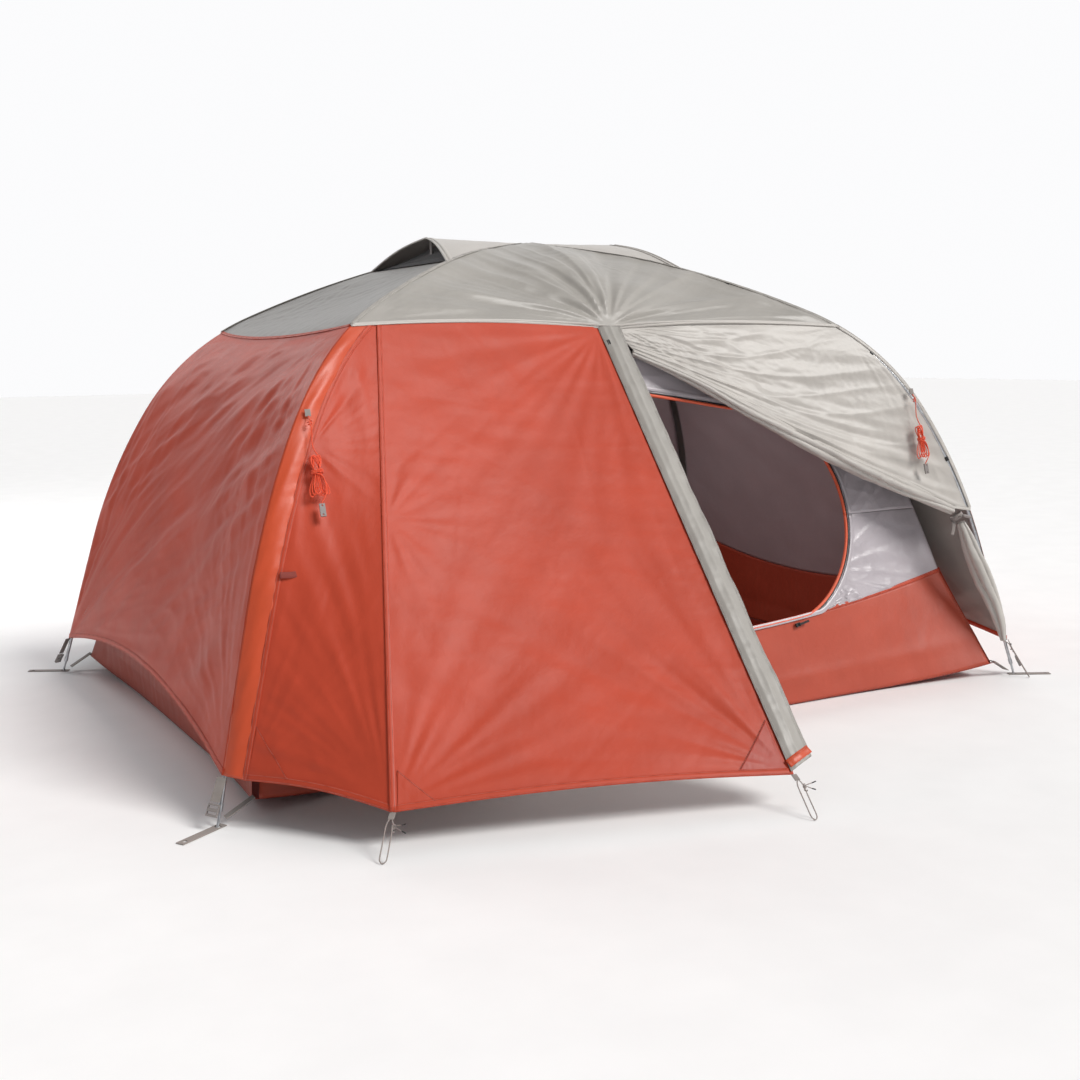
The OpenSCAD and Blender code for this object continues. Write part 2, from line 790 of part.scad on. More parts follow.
// ---- Vents ----
vent_top_z = brow(1, 0, fly_gap)[2] - 3;
function vent_ridge(side, f) = [side * vent_x * f, 0, vent_top_z + 6 * f];
vent_cuts = [0.05, 0.5, 1];
module vent_hood(side) {
    for (y = [-1, 1], k = [0:len(vent_cuts) - 2])
        sheet([for (f = steps(vent_cuts[k] + seam_t, vent_cuts[k + 1] - seam_t, 2))
            let (a = fly_arm([side, y], vent_t * f), b = vent_ridge(side, f))
            [mix(a, b, 0.012), mix(a, b, 0.99)]],
            [0, 0, cloth_t]);
}

module left_vent_hood() {
    color(grey) vent_hood(-1);
}

module right_vent_hood() {
    color(grey) vent_hood(1);
}

prop_w = 12;
prop_t = 3;
prop_foot_x = vent_x - 14;
prop_foot_z = fly_arm([1, 1], vent_inner_t)[2] + 4;
module vent_prop_piece(side) {
    foot = [side * prop_foot_x, 0, prop_foot_z];
    translate(foot) {
        translate([-prop_t / 2, -prop_w / 2, 4]) cube([prop_t, prop_w, vent_prop - 4]);
        translate([0, prop_w / 2, 4]) rotate([90, 0, 0]) cylinder(r = 3, h = prop_w);
    }
}

module left_vent_prop() {
    color(plastic) vent_prop_piece(-1);
}

module right_vent_prop() {
    color(plastic) vent_prop_piece(1);
}

// ---- Webbing and buckles at the four feet ----
tail_reach = [80, 46];
tail_len = norm(tail_reach) + 12;
strap_t = 1.8;
tip_hole_r = 7;
buckle_l = 26;
buckle_w = 24;
buckle_t = 6;

// At one foot, with local X pointing out along the tail
module at_foot(c) {
    foot = arm(c, sections);
    out = [c[0] * tail_reach[0], c[1] * tail_reach[1], 0];
    aim([foot[0], foot[1], 0], [foot[0], foot[1], 0] + out, [0, 0, 1]) children();
}

module webbing_tail() {
    difference() {
        translate([-16, -webbing_w / 2, 0]) cube([tail_len + 16, webbing_w, strap_t]);
        translate([tail_len - 14, 0, -1]) cylinder(r = grommet_r, h = strap_t + 2);
        translate([0, 0, -1]) cylinder(r = tip_hole_r, h = strap_t + 2);
    }
}

function fly_foot(c) = fly_arm(c, hem_t);
function buckle_at(c) =
    let (foot = arm(c, sections))
    [foot[0] + c[0] * 16, foot[1] + c[1] * 9, 24];
module corner_webbing() {
    color(strap_grey) for (c = CORNERS) {
        at_foot(c) webbing_tail();
        high = fly_foot(c) + [c[0] * 2, c[1] * 2, -3];
        low = buckle_at(c);
        strap(high, mix(high, low, 0.6), [c[0], c[1], 0.3], webbing_w, strap_t);
        floor_corner = [c[0] * (floor_half_x - 6), c[1] * (floor_half_y - 4), corner_lift + 6];
        inner_end = arm(c, sections) + [c[0] * -20, c[1] * -12, 12];
        strap(floor_corner, inner_end, [0, 0, 1], webbing_w, strap_t);
    }
}

module corner_buckles() {
    color(plastic) for (c = CORNERS) {
        high = fly_foot(c);
        low = buckle_at(c);
        start = mix(high, low, 0.66);
        aim(start, low, [c[0], c[1], 0.3]) difference() {
            translate([0, -buckle_w / 2, -buckle_t / 2]) cube([buckle_l, buckle_w, buckle_t]);
            for (x = [4, 16])
                translate([x, -webbing_w / 2 - 0.5, -buckle_t]) cube([5, webbing_w + 1, 2 * buckle_t]);
        }
    }
}

// ---- Stake tabs and cord loops round the vestibule hems ----
front_points = [side_stake, apex, bundle_path[6]];
stake_pull = 62;
tab_l = 14;
tab_w = 12;
function outward(p) = unit([p[0], p[1], 0]);
function tab_end(p) = p + outward(p) * tab_l + [0, 0, -10];
module stake_tab(p) {
    strap(p + [0, 0, -cloth_t], tab_end(p), [0, 0, 1], tab_w, strap_t);
}

module stake_tabs() {
    color(strap_grey) {
        for (p = front_points) stake_tab(p);
        for (p = [side_stake, apex, far_stake]) stake_tab(half_turn(p));
    }
}

loop_half_w = 7;
module stake_loop(p) {
    out = outward(p);
    side = [-out[1], out[0], 0];
    start = tab_end(p) + out * 1.5 + [0, 0, 1];
    ground = [p[0], p[1], 0] + out * (tab_l + stake_pull) + [0, 0, loop_cord_r + 0.1];
    run = ground - start;
    path = [
        start + side * 2,
        start + side * loop_half_w + run * 0.2,
        start + side * loop_half_w + run * 0.5,
        start + side * loop_half_w + run * 0.88,
        start + side * loop_half_w * 0.6 + run * 0.97,
        start + run,
        start - side * loop_half_w * 0.6 + run * 0.97,
        start - side * loop_half_w + run * 0.88,
        start - side * loop_half_w + run * 0.5,
        start - side * loop_half_w + run * 0.2,
        start - side * 2
    ];
    color(strap_grey) tube(path, [for (q = path) loop_cord_r], 8);
}

module front_left_stake_loop() {
    stake_loop(side_stake);
}

module front_apex_stake_loop() {
    stake_loop(apex);
}

module front_right_stake_loop() {
    stake_loop(bundle_path[6]);
}

module rear_left_stake_loop() {
    stake_loop(half_turn(far_stake));
}

module rear_apex_stake_loop() {
    stake_loop(half_turn(apex));
}

module rear_right_stake_loop() {
    stake_loop(half_turn(side_stake));
}

// ---- Guylines: a tab on the pole seam, a folded hank and a line tensioner ----
// Places of the two front ones and the direction in which they hang on the cloth
guy_left = [-888, -617, 803];
guy_left_down = unit([-13, -115, -243]);
guy_left_out = unit([-0.15, -0.88, 0.42]);
guy_right = [893, -614, 806];
guy_right_down = unit([7, -58, -232]);
guy_right_out = unit([-0.12, -0.96, 0.24]);
hank_w = 40;
hank_t = 12;
neck_len = 84;
tensioner_l = 28;

module guy_tab(p, down, out) {
    aim(p - down * 16, p, out) translate([0, -6, 0]) cube([16, 12, strap_t]);
}

module hank(p, down, out) {
    aim(p, p + down, out) translate([2, 0, 2]) linear_extrude(hank_t) {
        polygon([
            [0, -2], [0, 2], [neck_len, 4], [neck_len + 10, hank_w / 2], [hank_len - 10, hank_w / 2],
            [hank_len, 8], [hank_len, -8], [hank_len - 10, -hank_w / 2], [neck_len + 10, -hank_w / 2],
            [neck_len, -4]
        ]);
    }
}

module tensioner(p, down, out) {
    aim(p, p + down, out) translate([hank_len + 3, -6, 4]) difference() {
        cube([tensioner_l, 12, 4]);
        for (x = [4, tensioner_l - 4]) translate([x, 6, -1]) cylinder(r = 1.8, h = 6);
    }
}

module guyline_tabs() {
    color(strap_grey) {
        for (a = [0, 180]) rotate([0, 0, a]) guy_tab(guy_left, guy_left_down, guy_left_out);
        mirror([0, 1, 0]) guy_tab(guy_left, guy_left_down, guy_left_out);
        guy_tab(guy_right, guy_right_down, guy_right_out);
    }
}

module front_left_hank() {
    color(cord_orange) hank(guy_left, guy_left_down, guy_left_out);
}

module front_left_tensioner() {
    color(plastic) tensioner(guy_left, guy_left_down, guy_left_out);
}

module front_right_hank() {
    color(cord_orange) hank(guy_right, guy_right_down, guy_right_out);
}

module front_right_tensioner() {
    color(plastic) tensioner(guy_right, guy_right_down, guy_right_out);
}

module rear_right_hank() {
    color(cord_orange) rotate([0, 0, 180]) hank(guy_left, guy_left_down, guy_left_out);
}

module rear_right_tensioner() {
    color(plastic) rotate([0, 0, 180]) tensioner(guy_left, guy_left_down, guy_left_out);
}

module rear_left_hank() {
    color(cord_orange) mirror([0, 1, 0]) hank(guy_left, guy_left_down, guy_left_out);
}

module rear_left_tensioner() {
    color(plastic) mirror([0, 1, 0]) tensioner(guy_left, guy_left_down, guy_left_out);
}

pole_a();
pole_b();
pole_ferrules();
pole_tips();
pole_hub();
hub_saddle();
brow_pole();
pole_clips();
inner_floor();
bathtub_walls();
inner_front_wall();
inner_rear_wall();
inner_end_walls();
inner_roof();
inner_front_door_roll();
inner_rear_door();
inner_zip_slider();
roof_front();
roof_rear();
roof_left();
roof_right();
end_left();
end_right();
front_corner_panel();
front_panel();
front_storm_flap();
front_door_panel();
front_door_roll();
front_door_bundle();
door_tie();
rear_corner_panel();
rear_panel();
rear_side_panel();
rear_door();
zip_tapes();
front_zip_slider();
rear_zip_slider();
left_vent_hood();
right_vent_hood();
left_vent_prop();
right_vent_prop();
corner_webbing();
corner_buckles();
stake_tabs();
front_left_stake_loop();
front_apex_stake_loop();
front_right_stake_loop();
rear_left_stake_loop();
rear_apex_stake_loop();
rear_right_stake_loop();
guyline_tabs();
front_left_hank();
front_left_tensioner();
front_right_hank();
front_right_tensioner();
rear_left_hank();
rear_left_tensioner();
rear_right_hank();
rear_right_tensioner();
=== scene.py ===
import math

import bpy
import numpy as np
from mathutils import Matrix


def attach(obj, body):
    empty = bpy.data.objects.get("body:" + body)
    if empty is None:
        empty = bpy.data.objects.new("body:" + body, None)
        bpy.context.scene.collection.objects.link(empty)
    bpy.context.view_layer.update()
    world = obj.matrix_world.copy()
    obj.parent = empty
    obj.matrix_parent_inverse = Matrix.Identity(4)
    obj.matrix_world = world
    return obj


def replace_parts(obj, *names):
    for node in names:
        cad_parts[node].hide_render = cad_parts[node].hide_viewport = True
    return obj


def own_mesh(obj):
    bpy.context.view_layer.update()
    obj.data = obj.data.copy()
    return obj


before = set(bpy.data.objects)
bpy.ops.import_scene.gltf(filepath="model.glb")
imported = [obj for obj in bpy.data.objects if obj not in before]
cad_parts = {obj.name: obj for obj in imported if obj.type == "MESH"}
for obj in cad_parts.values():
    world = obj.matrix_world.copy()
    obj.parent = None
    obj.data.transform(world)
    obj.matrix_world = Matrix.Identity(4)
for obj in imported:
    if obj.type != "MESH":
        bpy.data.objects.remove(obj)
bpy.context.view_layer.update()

# ---- Driving dimensions of the CAD model, in metres and degrees ----
SECTION = 0.412
BENDS = (15, 8, 34, 16, 0)
FOOT_T = len(BENDS)
PLAN = math.radians(33.6)
FLY_GAP = 0.008
HUB_RISE = 0.014
HUB_SPREAD = 0.6
BROW_R = 0.5
BROW_SWEEP = 59
BROW_LIFT = 0.015
VENT_T = 1.07
EAVE_T = 2.2
TIE_T = 3.8
HEM_T = 4.75
HEM_RISE_T = 0.2
HEM_Z = 0.074
STAKE_X, STAKE_Y = 0.916, 1.070
APEX_X, APEX_Y = 0.126, 1.300
ZIP_X = 0.032
SEAM_START = 0.09
INNER_Y = 0.715
INNER_LEAN = 0.32
INNER_GAP = 0.062
INNER_TOP_Z = 0.930
INNER_PEAK_Z = 1.165
TUB_Z = 0.205
TUB_CORNER_Z = 0.095
FLOOR_X, FLOOR_Y = 1.093, 0.770
FLOOR_IN_X, FLOOR_IN_Y = 0.052, 0.080
CORNER_LIFT = 0.040
FLOOR_T = 0.0025
DOOR_R = 0.300
DOOR_X = 0.400
DOOR_LOW = 0.218
DOOR_HIGH = 0.830
VENT_X = 0.305
TIE_POINT = (0.9945, -0.699, 0.463)
ROLL_PATH = (
    (0.060, -0.446, 0.930), (0.200, -0.486, 0.866), (0.360, -0.532, 0.780),
    (0.520, -0.574, 0.694), (0.680, -0.612, 0.616), (0.840, -0.652, 0.546),
    (0.985, -0.692, 0.480),
)
ROLL_RADII = (0.008, 0.013, 0.017, 0.020, 0.022, 0.022, 0.014)
BUNDLE_PATH = (
    (1.004, -0.706, 0.446), (1.016, -0.716, 0.410), (1.032, -0.728, 0.360),
    (1.052, -0.742, 0.300), (1.076, -0.760, 0.230), (1.098, -0.776, 0.160),
    (1.108, -0.784, 0.108),
)
BUNDLE_RADII = (0.013, 0.022, 0.027, 0.029, 0.026, 0.020, 0.009)
TAB_L = 0.014
STAKE_PULL = 0.062
LOOP_D = 0.0025
LOOP_HALF_W = 0.007
GUY_D = 0.0025
HANK_LEN = 0.196
GUY_LEFT = ((-0.888, -0.617, 0.803), (-13, -115, -243), (-0.15, -0.88, 0.42))
GUY_RIGHT = ((0.893, -0.614, 0.806), (7, -58, -232), (-0.12, -0.96, 0.24))

# ---- Cloth ----
FLY_T = 0.0006
SEAM_W = 0.010
SEAM_T = 0.0012
HEM_W = 0.014
EAVE_BOW = 0.036
BAND_W = 0.052
FLAP_W = 0.056

UP = np.array((0.0, 0.0, 1.0))


# ======== Geometry of the frame ========
def unit(v):
    v = np.asarray(v, float)
    return v / np.linalg.norm(v, axis=-1, keepdims=True)


def mix(a, b, f):
    a, b = np.asarray(a, float), np.asarray(b, float)
    return a + (b - a) * f


def smooth(x):
    x = np.clip(x, 0, 1)
    return x * x * (3 - 2 * x)


def arch_drop(t):
    """Distance out from the hub and height below it, and the heading, t pole sections along."""
    place, heading = np.zeros(2), 0.0
    for i, bend in enumerate(BENDS):
        part = min(max(t - i, 0), 1)
        step = math.radians(bend * part)
        length = SECTION * part
        chord = 2 * length / step * math.sin(step / 2) if step else length
        middle = heading + step / 2
        place += chord * np.array((math.cos(middle), -math.sin(middle)))
        heading += step
    return place, heading


HUB_Z = -arch_drop(FOOT_T)[0][1]
BROW_Z = HUB_Z + BROW_LIFT


def arm(corner, t, out=0.0):
    """A point on the pole of a corner, or out metres above it."""
    place, heading = arch_drop(t)
    reach = place[0] + out * math.sin(heading)
    height = HUB_Z + place[1] + out * math.cos(heading)
    return np.array((corner[0] * math.cos(PLAN) * reach, corner[1] * math.sin(PLAN) * reach, height))


def fly_arm(corner, t):
    return arm(corner, t, FLY_GAP) + UP * HUB_RISE * max(0, 1 - t / HUB_SPREAD) ** 2


def brow(side, degrees, out=FLY_GAP):
    a = math.radians(degrees)
    reach = BROW_R + out
    return np.array((0, side * reach * math.sin(a), BROW_Z - BROW_R + reach * math.cos(a)))


def arm_line(corner, ts):
    return np.array([fly_arm(corner, t) for t in ts])


def half_turn(points):
    return np.asarray(points, float) * (-1, -1, 1)


def flip_x(points):
    return np.asarray(points, float) * (-1, 1, 1)


FL, FR, BL, BR = (-1, -1), (1, -1), (-1, 1), (1, 1)
BROW_END = brow(-1, BROW_SWEEP) + (0, 0.002, 0.002)
SIDE_STAKE = np.array((-STAKE_X, -STAKE_Y, HEM_Z))
FAR_STAKE = flip_x(SIDE_STAKE)
APEX = np.array((-APEX_X, -APEX_Y, HEM_Z))
ZIP_TOP = BROW_END + (-ZIP_X, 0, -0.002)
EAVE_LEFT = fly_arm(FL, EAVE_T)
EAVE_RIGHT = fly_arm(FR, EAVE_T)
ROOF_TOP = np.array((0, 0, BROW_Z + FLY_GAP))


def eave_bow(start, w):
    """How far the eave seam bows up the roof, w of the way from a pole to the brow pole."""
    rise = unit(ROOF_TOP - mix(start, BROW_END, 0.5))
    return rise * (EAVE_BOW * 4 * w * (1 - w))[..., None]


def eave(start, w):
    return mix(start, BROW_END, w[:, None]) + eave_bow(start, w)


def arm_t_at(z):
    low, high = 0.0, float(FOOT_T)
    for _ in range(24):
        middle = (low + high) / 2
        if HUB_Z + arch_drop(middle)[0][1] > z:
            low = middle
        else:
            high = middle
    return (low + high) / 2


def inner_x(z):
    return math.cos(PLAN) * arch_drop(arm_t_at(z))[0][0] - INNER_GAP


def inner_y(z):
    return INNER_Y - INNER_LEAN * z


def tub_top(u):
    return TUB_Z + TUB_CORNER_Z * u * u


LEAN = math.atan(INNER_LEAN)


def on_wall(x, up, out=0.0):
    """A point of the front inner wall from its own flat coordinates."""
    x, up, out = np.broadcast_arrays(np.asarray(x, float), np.asarray(up, float), np.asarray(out, float))
    y = -INNER_Y + up * math.sin(LEAN) - out * math.cos(LEAN)
    return np.stack((x, y, up * math.cos(LEAN) + out * math.sin(LEAN)), -1)


# ======== Noise and creases ========
def noise(x, y, seed):
    """Smooth noise from -1 to 1 on arrays of coordinates."""
    xi, yi = np.floor(x).astype(np.int64), np.floor(y).astype(np.int64)
    fx, fy = x - xi, y - yi
    sx, sy = fx ** 3 * (fx * (fx * 6 - 15) + 10), fy ** 3 * (fy * (fy * 6 - 15) + 10)

    def corner(i, j):
        h = (i * 374761393 + j * 668265263 + seed * 974634777) & 0xFFFFFFFF
        h = ((h ^ (h >> 13)) * 1274126177) & 0xFFFFFFFF
        angle = (h ^ (h >> 16)) / 0xFFFFFFFF * 2 * math.pi
        return np.cos(angle) * (x - i) + np.sin(angle) * (y - j)

    top = corner(xi, yi) * (1 - sx) + corner(xi + 1, yi) * sx
    low = corner(xi, yi + 1) * (1 - sx) + corner(xi + 1, yi + 1) * sx
    return (top * (1 - sy) + low * sy) * 1.5


def ridged(x, y, seed):
    """Sharp crests on a smooth ground, from 0 to 1."""
    return np.clip(1 - np.abs(noise(x, y, seed)) * 2.2, 0, 1) ** 2


class Cloth:
    """A grid of points on one piece of cloth, with flat coordinates x, y in metres."""

    def __init__(self, points, outward, seed):
        self.base = np.asarray(points, float)
        self.seed = seed
        rows, cols = self.base.shape[:2]
        self.s = np.linspace(0, 1, rows)[:, None] * np.ones(cols)
        self.v = np.ones(rows)[:, None] * np.linspace(0, 1, cols)
        across = np.linalg.norm(np.diff(self.base, axis=1), axis=2)
        along = np.linalg.norm(np.diff(self.base, axis=0), axis=2)
        self.x = np.hstack((np.zeros((rows, 1)), np.cumsum(across, axis=1)))
        self.width = self.x[:, -1:]
        self.y = np.vstack((np.zeros((1, cols)), np.cumsum(along, axis=0)))
        self.length = self.y[-1:, :]
        self.normal = grid_normals(self.base)
        if (self.normal * np.asarray(outward)).sum(-1).mean() < 0:
            self.normal = -self.normal
        self.height = np.zeros((rows, cols))
        self.flat_x = self.x - self.width / 2
        self.flat_y = self.y.mean(1, keepdims=True) * np.ones(cols)

    def edge(self, *names):
        """Distance in metres to the nearest of the named edges."""
        sides = {
            "left": self.x, "right": self.width - self.x,
            "top": self.y, "bottom": self.length - self.y,
        }
        return np.min([sides[n] for n in names], axis=0)

    def held(self, reach=0.05):
        return smooth(self.edge("left", "right", "top", "bottom") / reach)

    def belly(self, depth):
        """Pulls the middle in (or pushes it out, if negative)."""
        self.height -= depth * np.sin(math.pi * self.s) * np.sin(math.pi * self.v)
        return self

    def folds(self, angle, wave, amount, stretch=7, reach=0.06, sharp=False):
        """Long folds that all run at one angle from the x axis."""
        a = math.radians(angle)
        along = self.flat_x * math.cos(a) + self.flat_y * math.sin(a)
        across = -self.flat_x * math.sin(a) + self.flat_y * math.cos(a)
        pattern = ridged if sharp else noise
        self.seed += 1
        h = pattern(across / wave, along / (wave * stretch), self.seed)
        patch = smooth(0.6 + noise(along / 0.35, across / 0.22, self.seed + 50))
        self.height += amount * h * patch * self.held(reach)
        return self

    def fan(self, s, v, spread, amount, reach, start=0.03, sharp=True):
        """Creases that run out from a pulled point, given as fractions of the grid."""
        row = min(int(s * (self.s.shape[0] - 1)), self.s.shape[0] - 1)
        col = min(int(v * (self.s.shape[1] - 1)), self.s.shape[1] - 1)
        dx, dy = self.flat_x - self.flat_x[row, col], self.flat_y - self.flat_y[row, col]
        r = np.hypot(dx, dy)
        middle = math.atan2(dy.mean(), dx.mean())
        angle = (np.arctan2(dy, dx) - middle + math.pi) % (2 * math.pi)
        self.seed += 1
        pattern = ridged if sharp else noise
        h = pattern(angle * spread, r * 2.0, self.seed)
        clear = max(start, 0.012 * spread)
        self.height += amount * h * smooth(r / clear) * np.exp(-r / reach) * self.held(0.02)
        return self

    def pucker(self, side, pitch=0.014, amount=0.0009, reach=0.022):
        """Small gathers that a stitched seam leaves beside it."""
        d = self.edge(side)
        along = self.y if side in ("left", "right") else self.x
        self.seed += 1
        h = noise(along / pitch, d / 0.08, self.seed)
        patch = smooth(0.75 + noise(along / 0.12, d / 0.3, self.seed + 9))
        self.height += amount * h * patch * smooth(d / 0.006) * np.exp(-d / reach)
        return self

    def crinkle(self, size, amount):
        """Fine crumpled texture over the whole piece, stronger in patches."""
        self.seed += 1
        x, y = self.flat_x / size, self.flat_y / size
        warp = noise(x * 0.4, y * 0.4, self.seed + 5)
        h = ridged(x + warp, y - warp, self.seed) + 0.5 * ridged(2.1 * x, 2.1 * y, self.seed + 1)
        patch = smooth(0.5 + noise(self.flat_x / 0.25, self.flat_y / 0.25, self.seed + 7) * 1.3)
        self.height += amount * (h - 0.4) * (0.25 + 0.75 * patch) * self.held(0.03)
        return self

    def creases(self, count, amount, length=0.3, width=0.004):
        """Sharp lines left from packing."""
        self.seed += 1
        draw = np.random.default_rng(self.seed)
        low, high = self.flat_x.min(), self.flat_x.max()
        for _ in range(count):
            x0, y0 = draw.uniform(low, high), draw.uniform(0, self.flat_y.max())
            a, half = draw.uniform(0, math.pi), draw.uniform(0.3, 1) * length / 2
            dx, dy = self.flat_x - x0, self.flat_y - y0
            along = dx * math.cos(a) + dy * math.sin(a)
            across = -dx * math.sin(a) + dy * math.cos(a) + 0.01 * np.sin(along * 9 + a)
            line = np.exp(-np.abs(across) / width) * np.exp(-(along / half) ** 4)
            self.height += amount * draw.choice((-1, 1)) * line * self.held(0.03)
        return self

    @property
    def points(self):
        h = self.height
        for _ in range(2):
            wide = np.pad(h, 1, mode="edge")
            around = wide[:-2, 1:-1] + wide[2:, 1:-1] + wide[1:-1, :-2] + wide[1:-1, 2:]
            h = h * 0.5 + around * 0.125
        return self.base + self.normal * h[..., None]


def grid_normals(points):
    n = np.cross(np.gradient(points, axis=0), np.gradient(points, axis=1))
    size = np.linalg.norm(n, axis=-1, keepdims=True)
    size[size < 1e-12] = 1
    return n / size


# ======== Materials ========
def linear(red, green, blue):
    """A colour given as 0-255 display values, as the shader wants it."""
    return tuple(((c / 255 + 0.055) / 1.055) ** 2.4 for c in (red, green, blue)) + (1,)


class Shader:
    """One material's node tree around a Principled shader."""

    def __init__(self, name, roughness, **sockets):
        self.material = bpy.data.materials.new(name)
        self.material.use_nodes = True
        self.nodes = self.material.node_tree.nodes
        self.links = self.material.node_tree.links
        self.principled = self.nodes["Principled BSDF"]
        self.principled.inputs["Roughness"].default_value = roughness
        for socket, value in sockets.items():
            self.principled.inputs[socket.replace("_", " ")].default_value = value
        self.normal = None

    def add(self, kind, inputs=(), **settings):
        node = self.nodes.new("ShaderNode" + kind)
        for key, value in settings.items():
            setattr(node, key, value)
        for key, value in dict(inputs).items():
            if isinstance(value, bpy.types.NodeSocket):
                self.links.new(value, node.inputs[key])
            else:
                node.inputs[key].default_value = value
        return node

    def place(self, source="UV"):
        return self.add("TexCoord").outputs[source]

    def stretched(self, source, scale):
        return self.add("Mapping", {"Vector": source, "Scale": scale}).outputs["Vector"]

    def bump(self, height, strength, distance):
        inputs = {"Height": height, "Strength": strength, "Distance": distance}
        if self.normal is not None:
            inputs["Normal"] = self.normal
        self.normal = self.add("Bump", inputs).outputs["Normal"]
        self.links.new(self.normal, self.principled.inputs["Normal"])

    def ramp(self, factor, stops):
        node = self.add("ValToRGB", {"Fac": factor})
        while len(node.color_ramp.elements) < len(stops):
            node.color_ramp.elements.new(0.5)
        for element, (at, color) in zip(node.color_ramp.elements, stops):
            element.position = at
            element.color = color
        return node.outputs["Color"]

    def color(self, socket):
        self.links.new(socket, self.principled.inputs["Base Color"])

    def rough(self, factor, low, high):
        node = self.add("MapRange", {"Value": factor, "To Min": low, "To Max": high})
        self.links.new(node.outputs["Result"], self.principled.inputs["Roughness"])


def tones(color, *factors):
    return [tuple(min(c * f, 1) for c in color[:3]) + (1,) for f in factors]


WEAVE_SCALE = 300


def cloth_shader(name, color, rough, sheen=0.05, crinkle=0.6, weave=0.25, specular=0.5, variation=0.10):
    """Coated woven cloth: thread weave, small crinkles and slightly uneven dye."""
    s = Shader(name, rough, Sheen_Weight=sheen, Sheen_Roughness=0.4, Specular_IOR_Level=specular)
    uv = s.place()
    cloudy = s.add("TexNoise", {"Vector": uv, "Scale": 3.0, "Detail": 6.0, "Roughness": 0.6})
    dark, light = tones(color, 1 - variation, 1 + variation)
    s.color(s.ramp(cloudy.outputs["Fac"], ((0.3, dark), (0.7, light))))
    s.rough(cloudy.outputs["Fac"], rough - 0.07, rough + 0.07)
    fine = s.add("TexNoise", {"Vector": uv, "Scale": 70.0, "Detail": 5.0, "Distortion": 0.6})
    s.bump(fine.outputs["Fac"], crinkle, 0.0010)
    cracks = s.add(
        "TexVoronoi", {"Vector": uv, "Scale": 26.0, "Randomness": 1.0}, feature="DISTANCE_TO_EDGE"
    )
    s.bump(cracks.outputs["Distance"], crinkle * 0.5, 0.0012)
    warp = s.add("TexWave", {"Vector": uv, "Scale": WEAVE_SCALE, "Distortion": 0.3}, bands_direction="X")
    weft = s.add("TexWave", {"Vector": uv, "Scale": WEAVE_SCALE, "Distortion": 0.3}, bands_direction="Y")
    woven = s.add("Math", {0: warp.outputs["Fac"], 1: weft.outputs["Fac"]}, operation="MULTIPLY")
    s.bump(woven.outputs["Value"], weave, 0.00012)
    return s.material


def mesh_shader(name, color):
    """Insect mesh: a fine grid of holes."""
    s = Shader(name, 0.7, Sheen_Weight=0.2)
    uv = s.place()
    warp = s.add("TexWave", {"Vector": uv, "Scale": 130.0}, bands_direction="X")
    weft = s.add("TexWave", {"Vector": uv, "Scale": 130.0}, bands_direction="Y")
    top = s.add("Math", {0: warp.outputs["Fac"], 1: weft.outputs["Fac"]}, operation="MAXIMUM")
    thread = s.add("Math", {0: top.outputs["Value"], 1: 0.55}, operation="GREATER_THAN")
    cloudy = s.add("TexNoise", {"Vector": uv, "Scale": 8.0})
    s.color(s.ramp(cloudy.outputs["Fac"], ((0.3, tones(color, 0.8)[0]), (0.7, color))))
    s.links.new(thread.outputs["Value"], s.principled.inputs["Alpha"])
    return s.material


def webbing_shader(name, color):
    """Flat woven strap: ribs across it and fine cords along it."""
    s = Shader(name, 0.72, Sheen_Weight=0.3)
    uv = s.place()
    ribs = s.add("TexWave", {"Vector": uv, "Scale": 170.0, "Distortion": 0.6}, bands_direction="X")
    cords = s.add("TexWave", {"Vector": uv, "Scale": 120.0}, bands_direction="Y")
    s.color(s.ramp(ribs.outputs["Fac"], ((0.2, tones(color, 0.72)[0]), (0.8, tones(color, 1.1)[0]))))
    s.bump(ribs.outputs["Fac"], 0.7, 0.0004)
    s.bump(cords.outputs["Fac"], 0.4, 0.0003)
    return s.material


def cord_shader(name, color, fleck):
    """Braided cord: strands that cross at an angle, with a darker fleck."""
    s = Shader(name, 0.6, Sheen_Weight=0.25)
    uv = s.place()
    turned = s.add("Mapping", {"Vector": uv, "Rotation": (0, 0, math.radians(35))}).outputs["Vector"]
    other = s.add("Mapping", {"Vector": uv, "Rotation": (0, 0, math.radians(-35))}).outputs["Vector"]
    left = s.add("TexWave", {"Vector": turned, "Scale": 190.0}, bands_direction="X")
    right = s.add("TexWave", {"Vector": other, "Scale": 190.0}, bands_direction="X")
    strands = s.add("Math", {0: left.outputs["Fac"], 1: right.outputs["Fac"]}, operation="MAXIMUM")
    s.color(s.ramp(strands.outputs["Value"], ((0.3, fleck), (0.75, color))))
    s.bump(strands.outputs["Value"], 0.8, 0.0004)
    return s.material


def hard_shader(name, color, rough, metallic=0.0, scale=220.0, strength=0.15, stretch=(1, 1, 1)):
    """Moulded plastic or metal: a fine surface grain and slightly worn tones."""
    s = Shader(name, rough, Metallic=metallic)
    place = s.stretched(s.place("Object"), stretch)
    grain = s.add("TexNoise", {"Vector": place, "Scale": scale, "Detail": 4.0})
    worn = s.add("TexNoise", {"Vector": place, "Scale": 14.0, "Detail": 3.0})
    dark, light = tones(color, 0.85, 1.08)
    s.color(s.ramp(worn.outputs["Fac"], ((0.35, dark), (0.65, light))))
    s.rough(grain.outputs["Fac"], rough - 0.08, rough + 0.08)
    s.bump(grain.outputs["Fac"], strength, 0.0004)
    return s.material


RUST = linear(184, 68, 44)
# BRIGHT: the pole band's brighter orange is partly the band's own dye and partly painted glow, for light
# shining through the band
BRIGHT = linear(198, 76, 40)
GREY = linear(158, 154, 148)
# painted light: PALE is the grey fly cloth lightened for the key light that falls on the open door
PALE = linear(184, 179, 173)
LILAC = linear(180, 173, 178)
TUB = linear(176, 72, 50)
FLOOR_RED = linear(140, 40, 24)

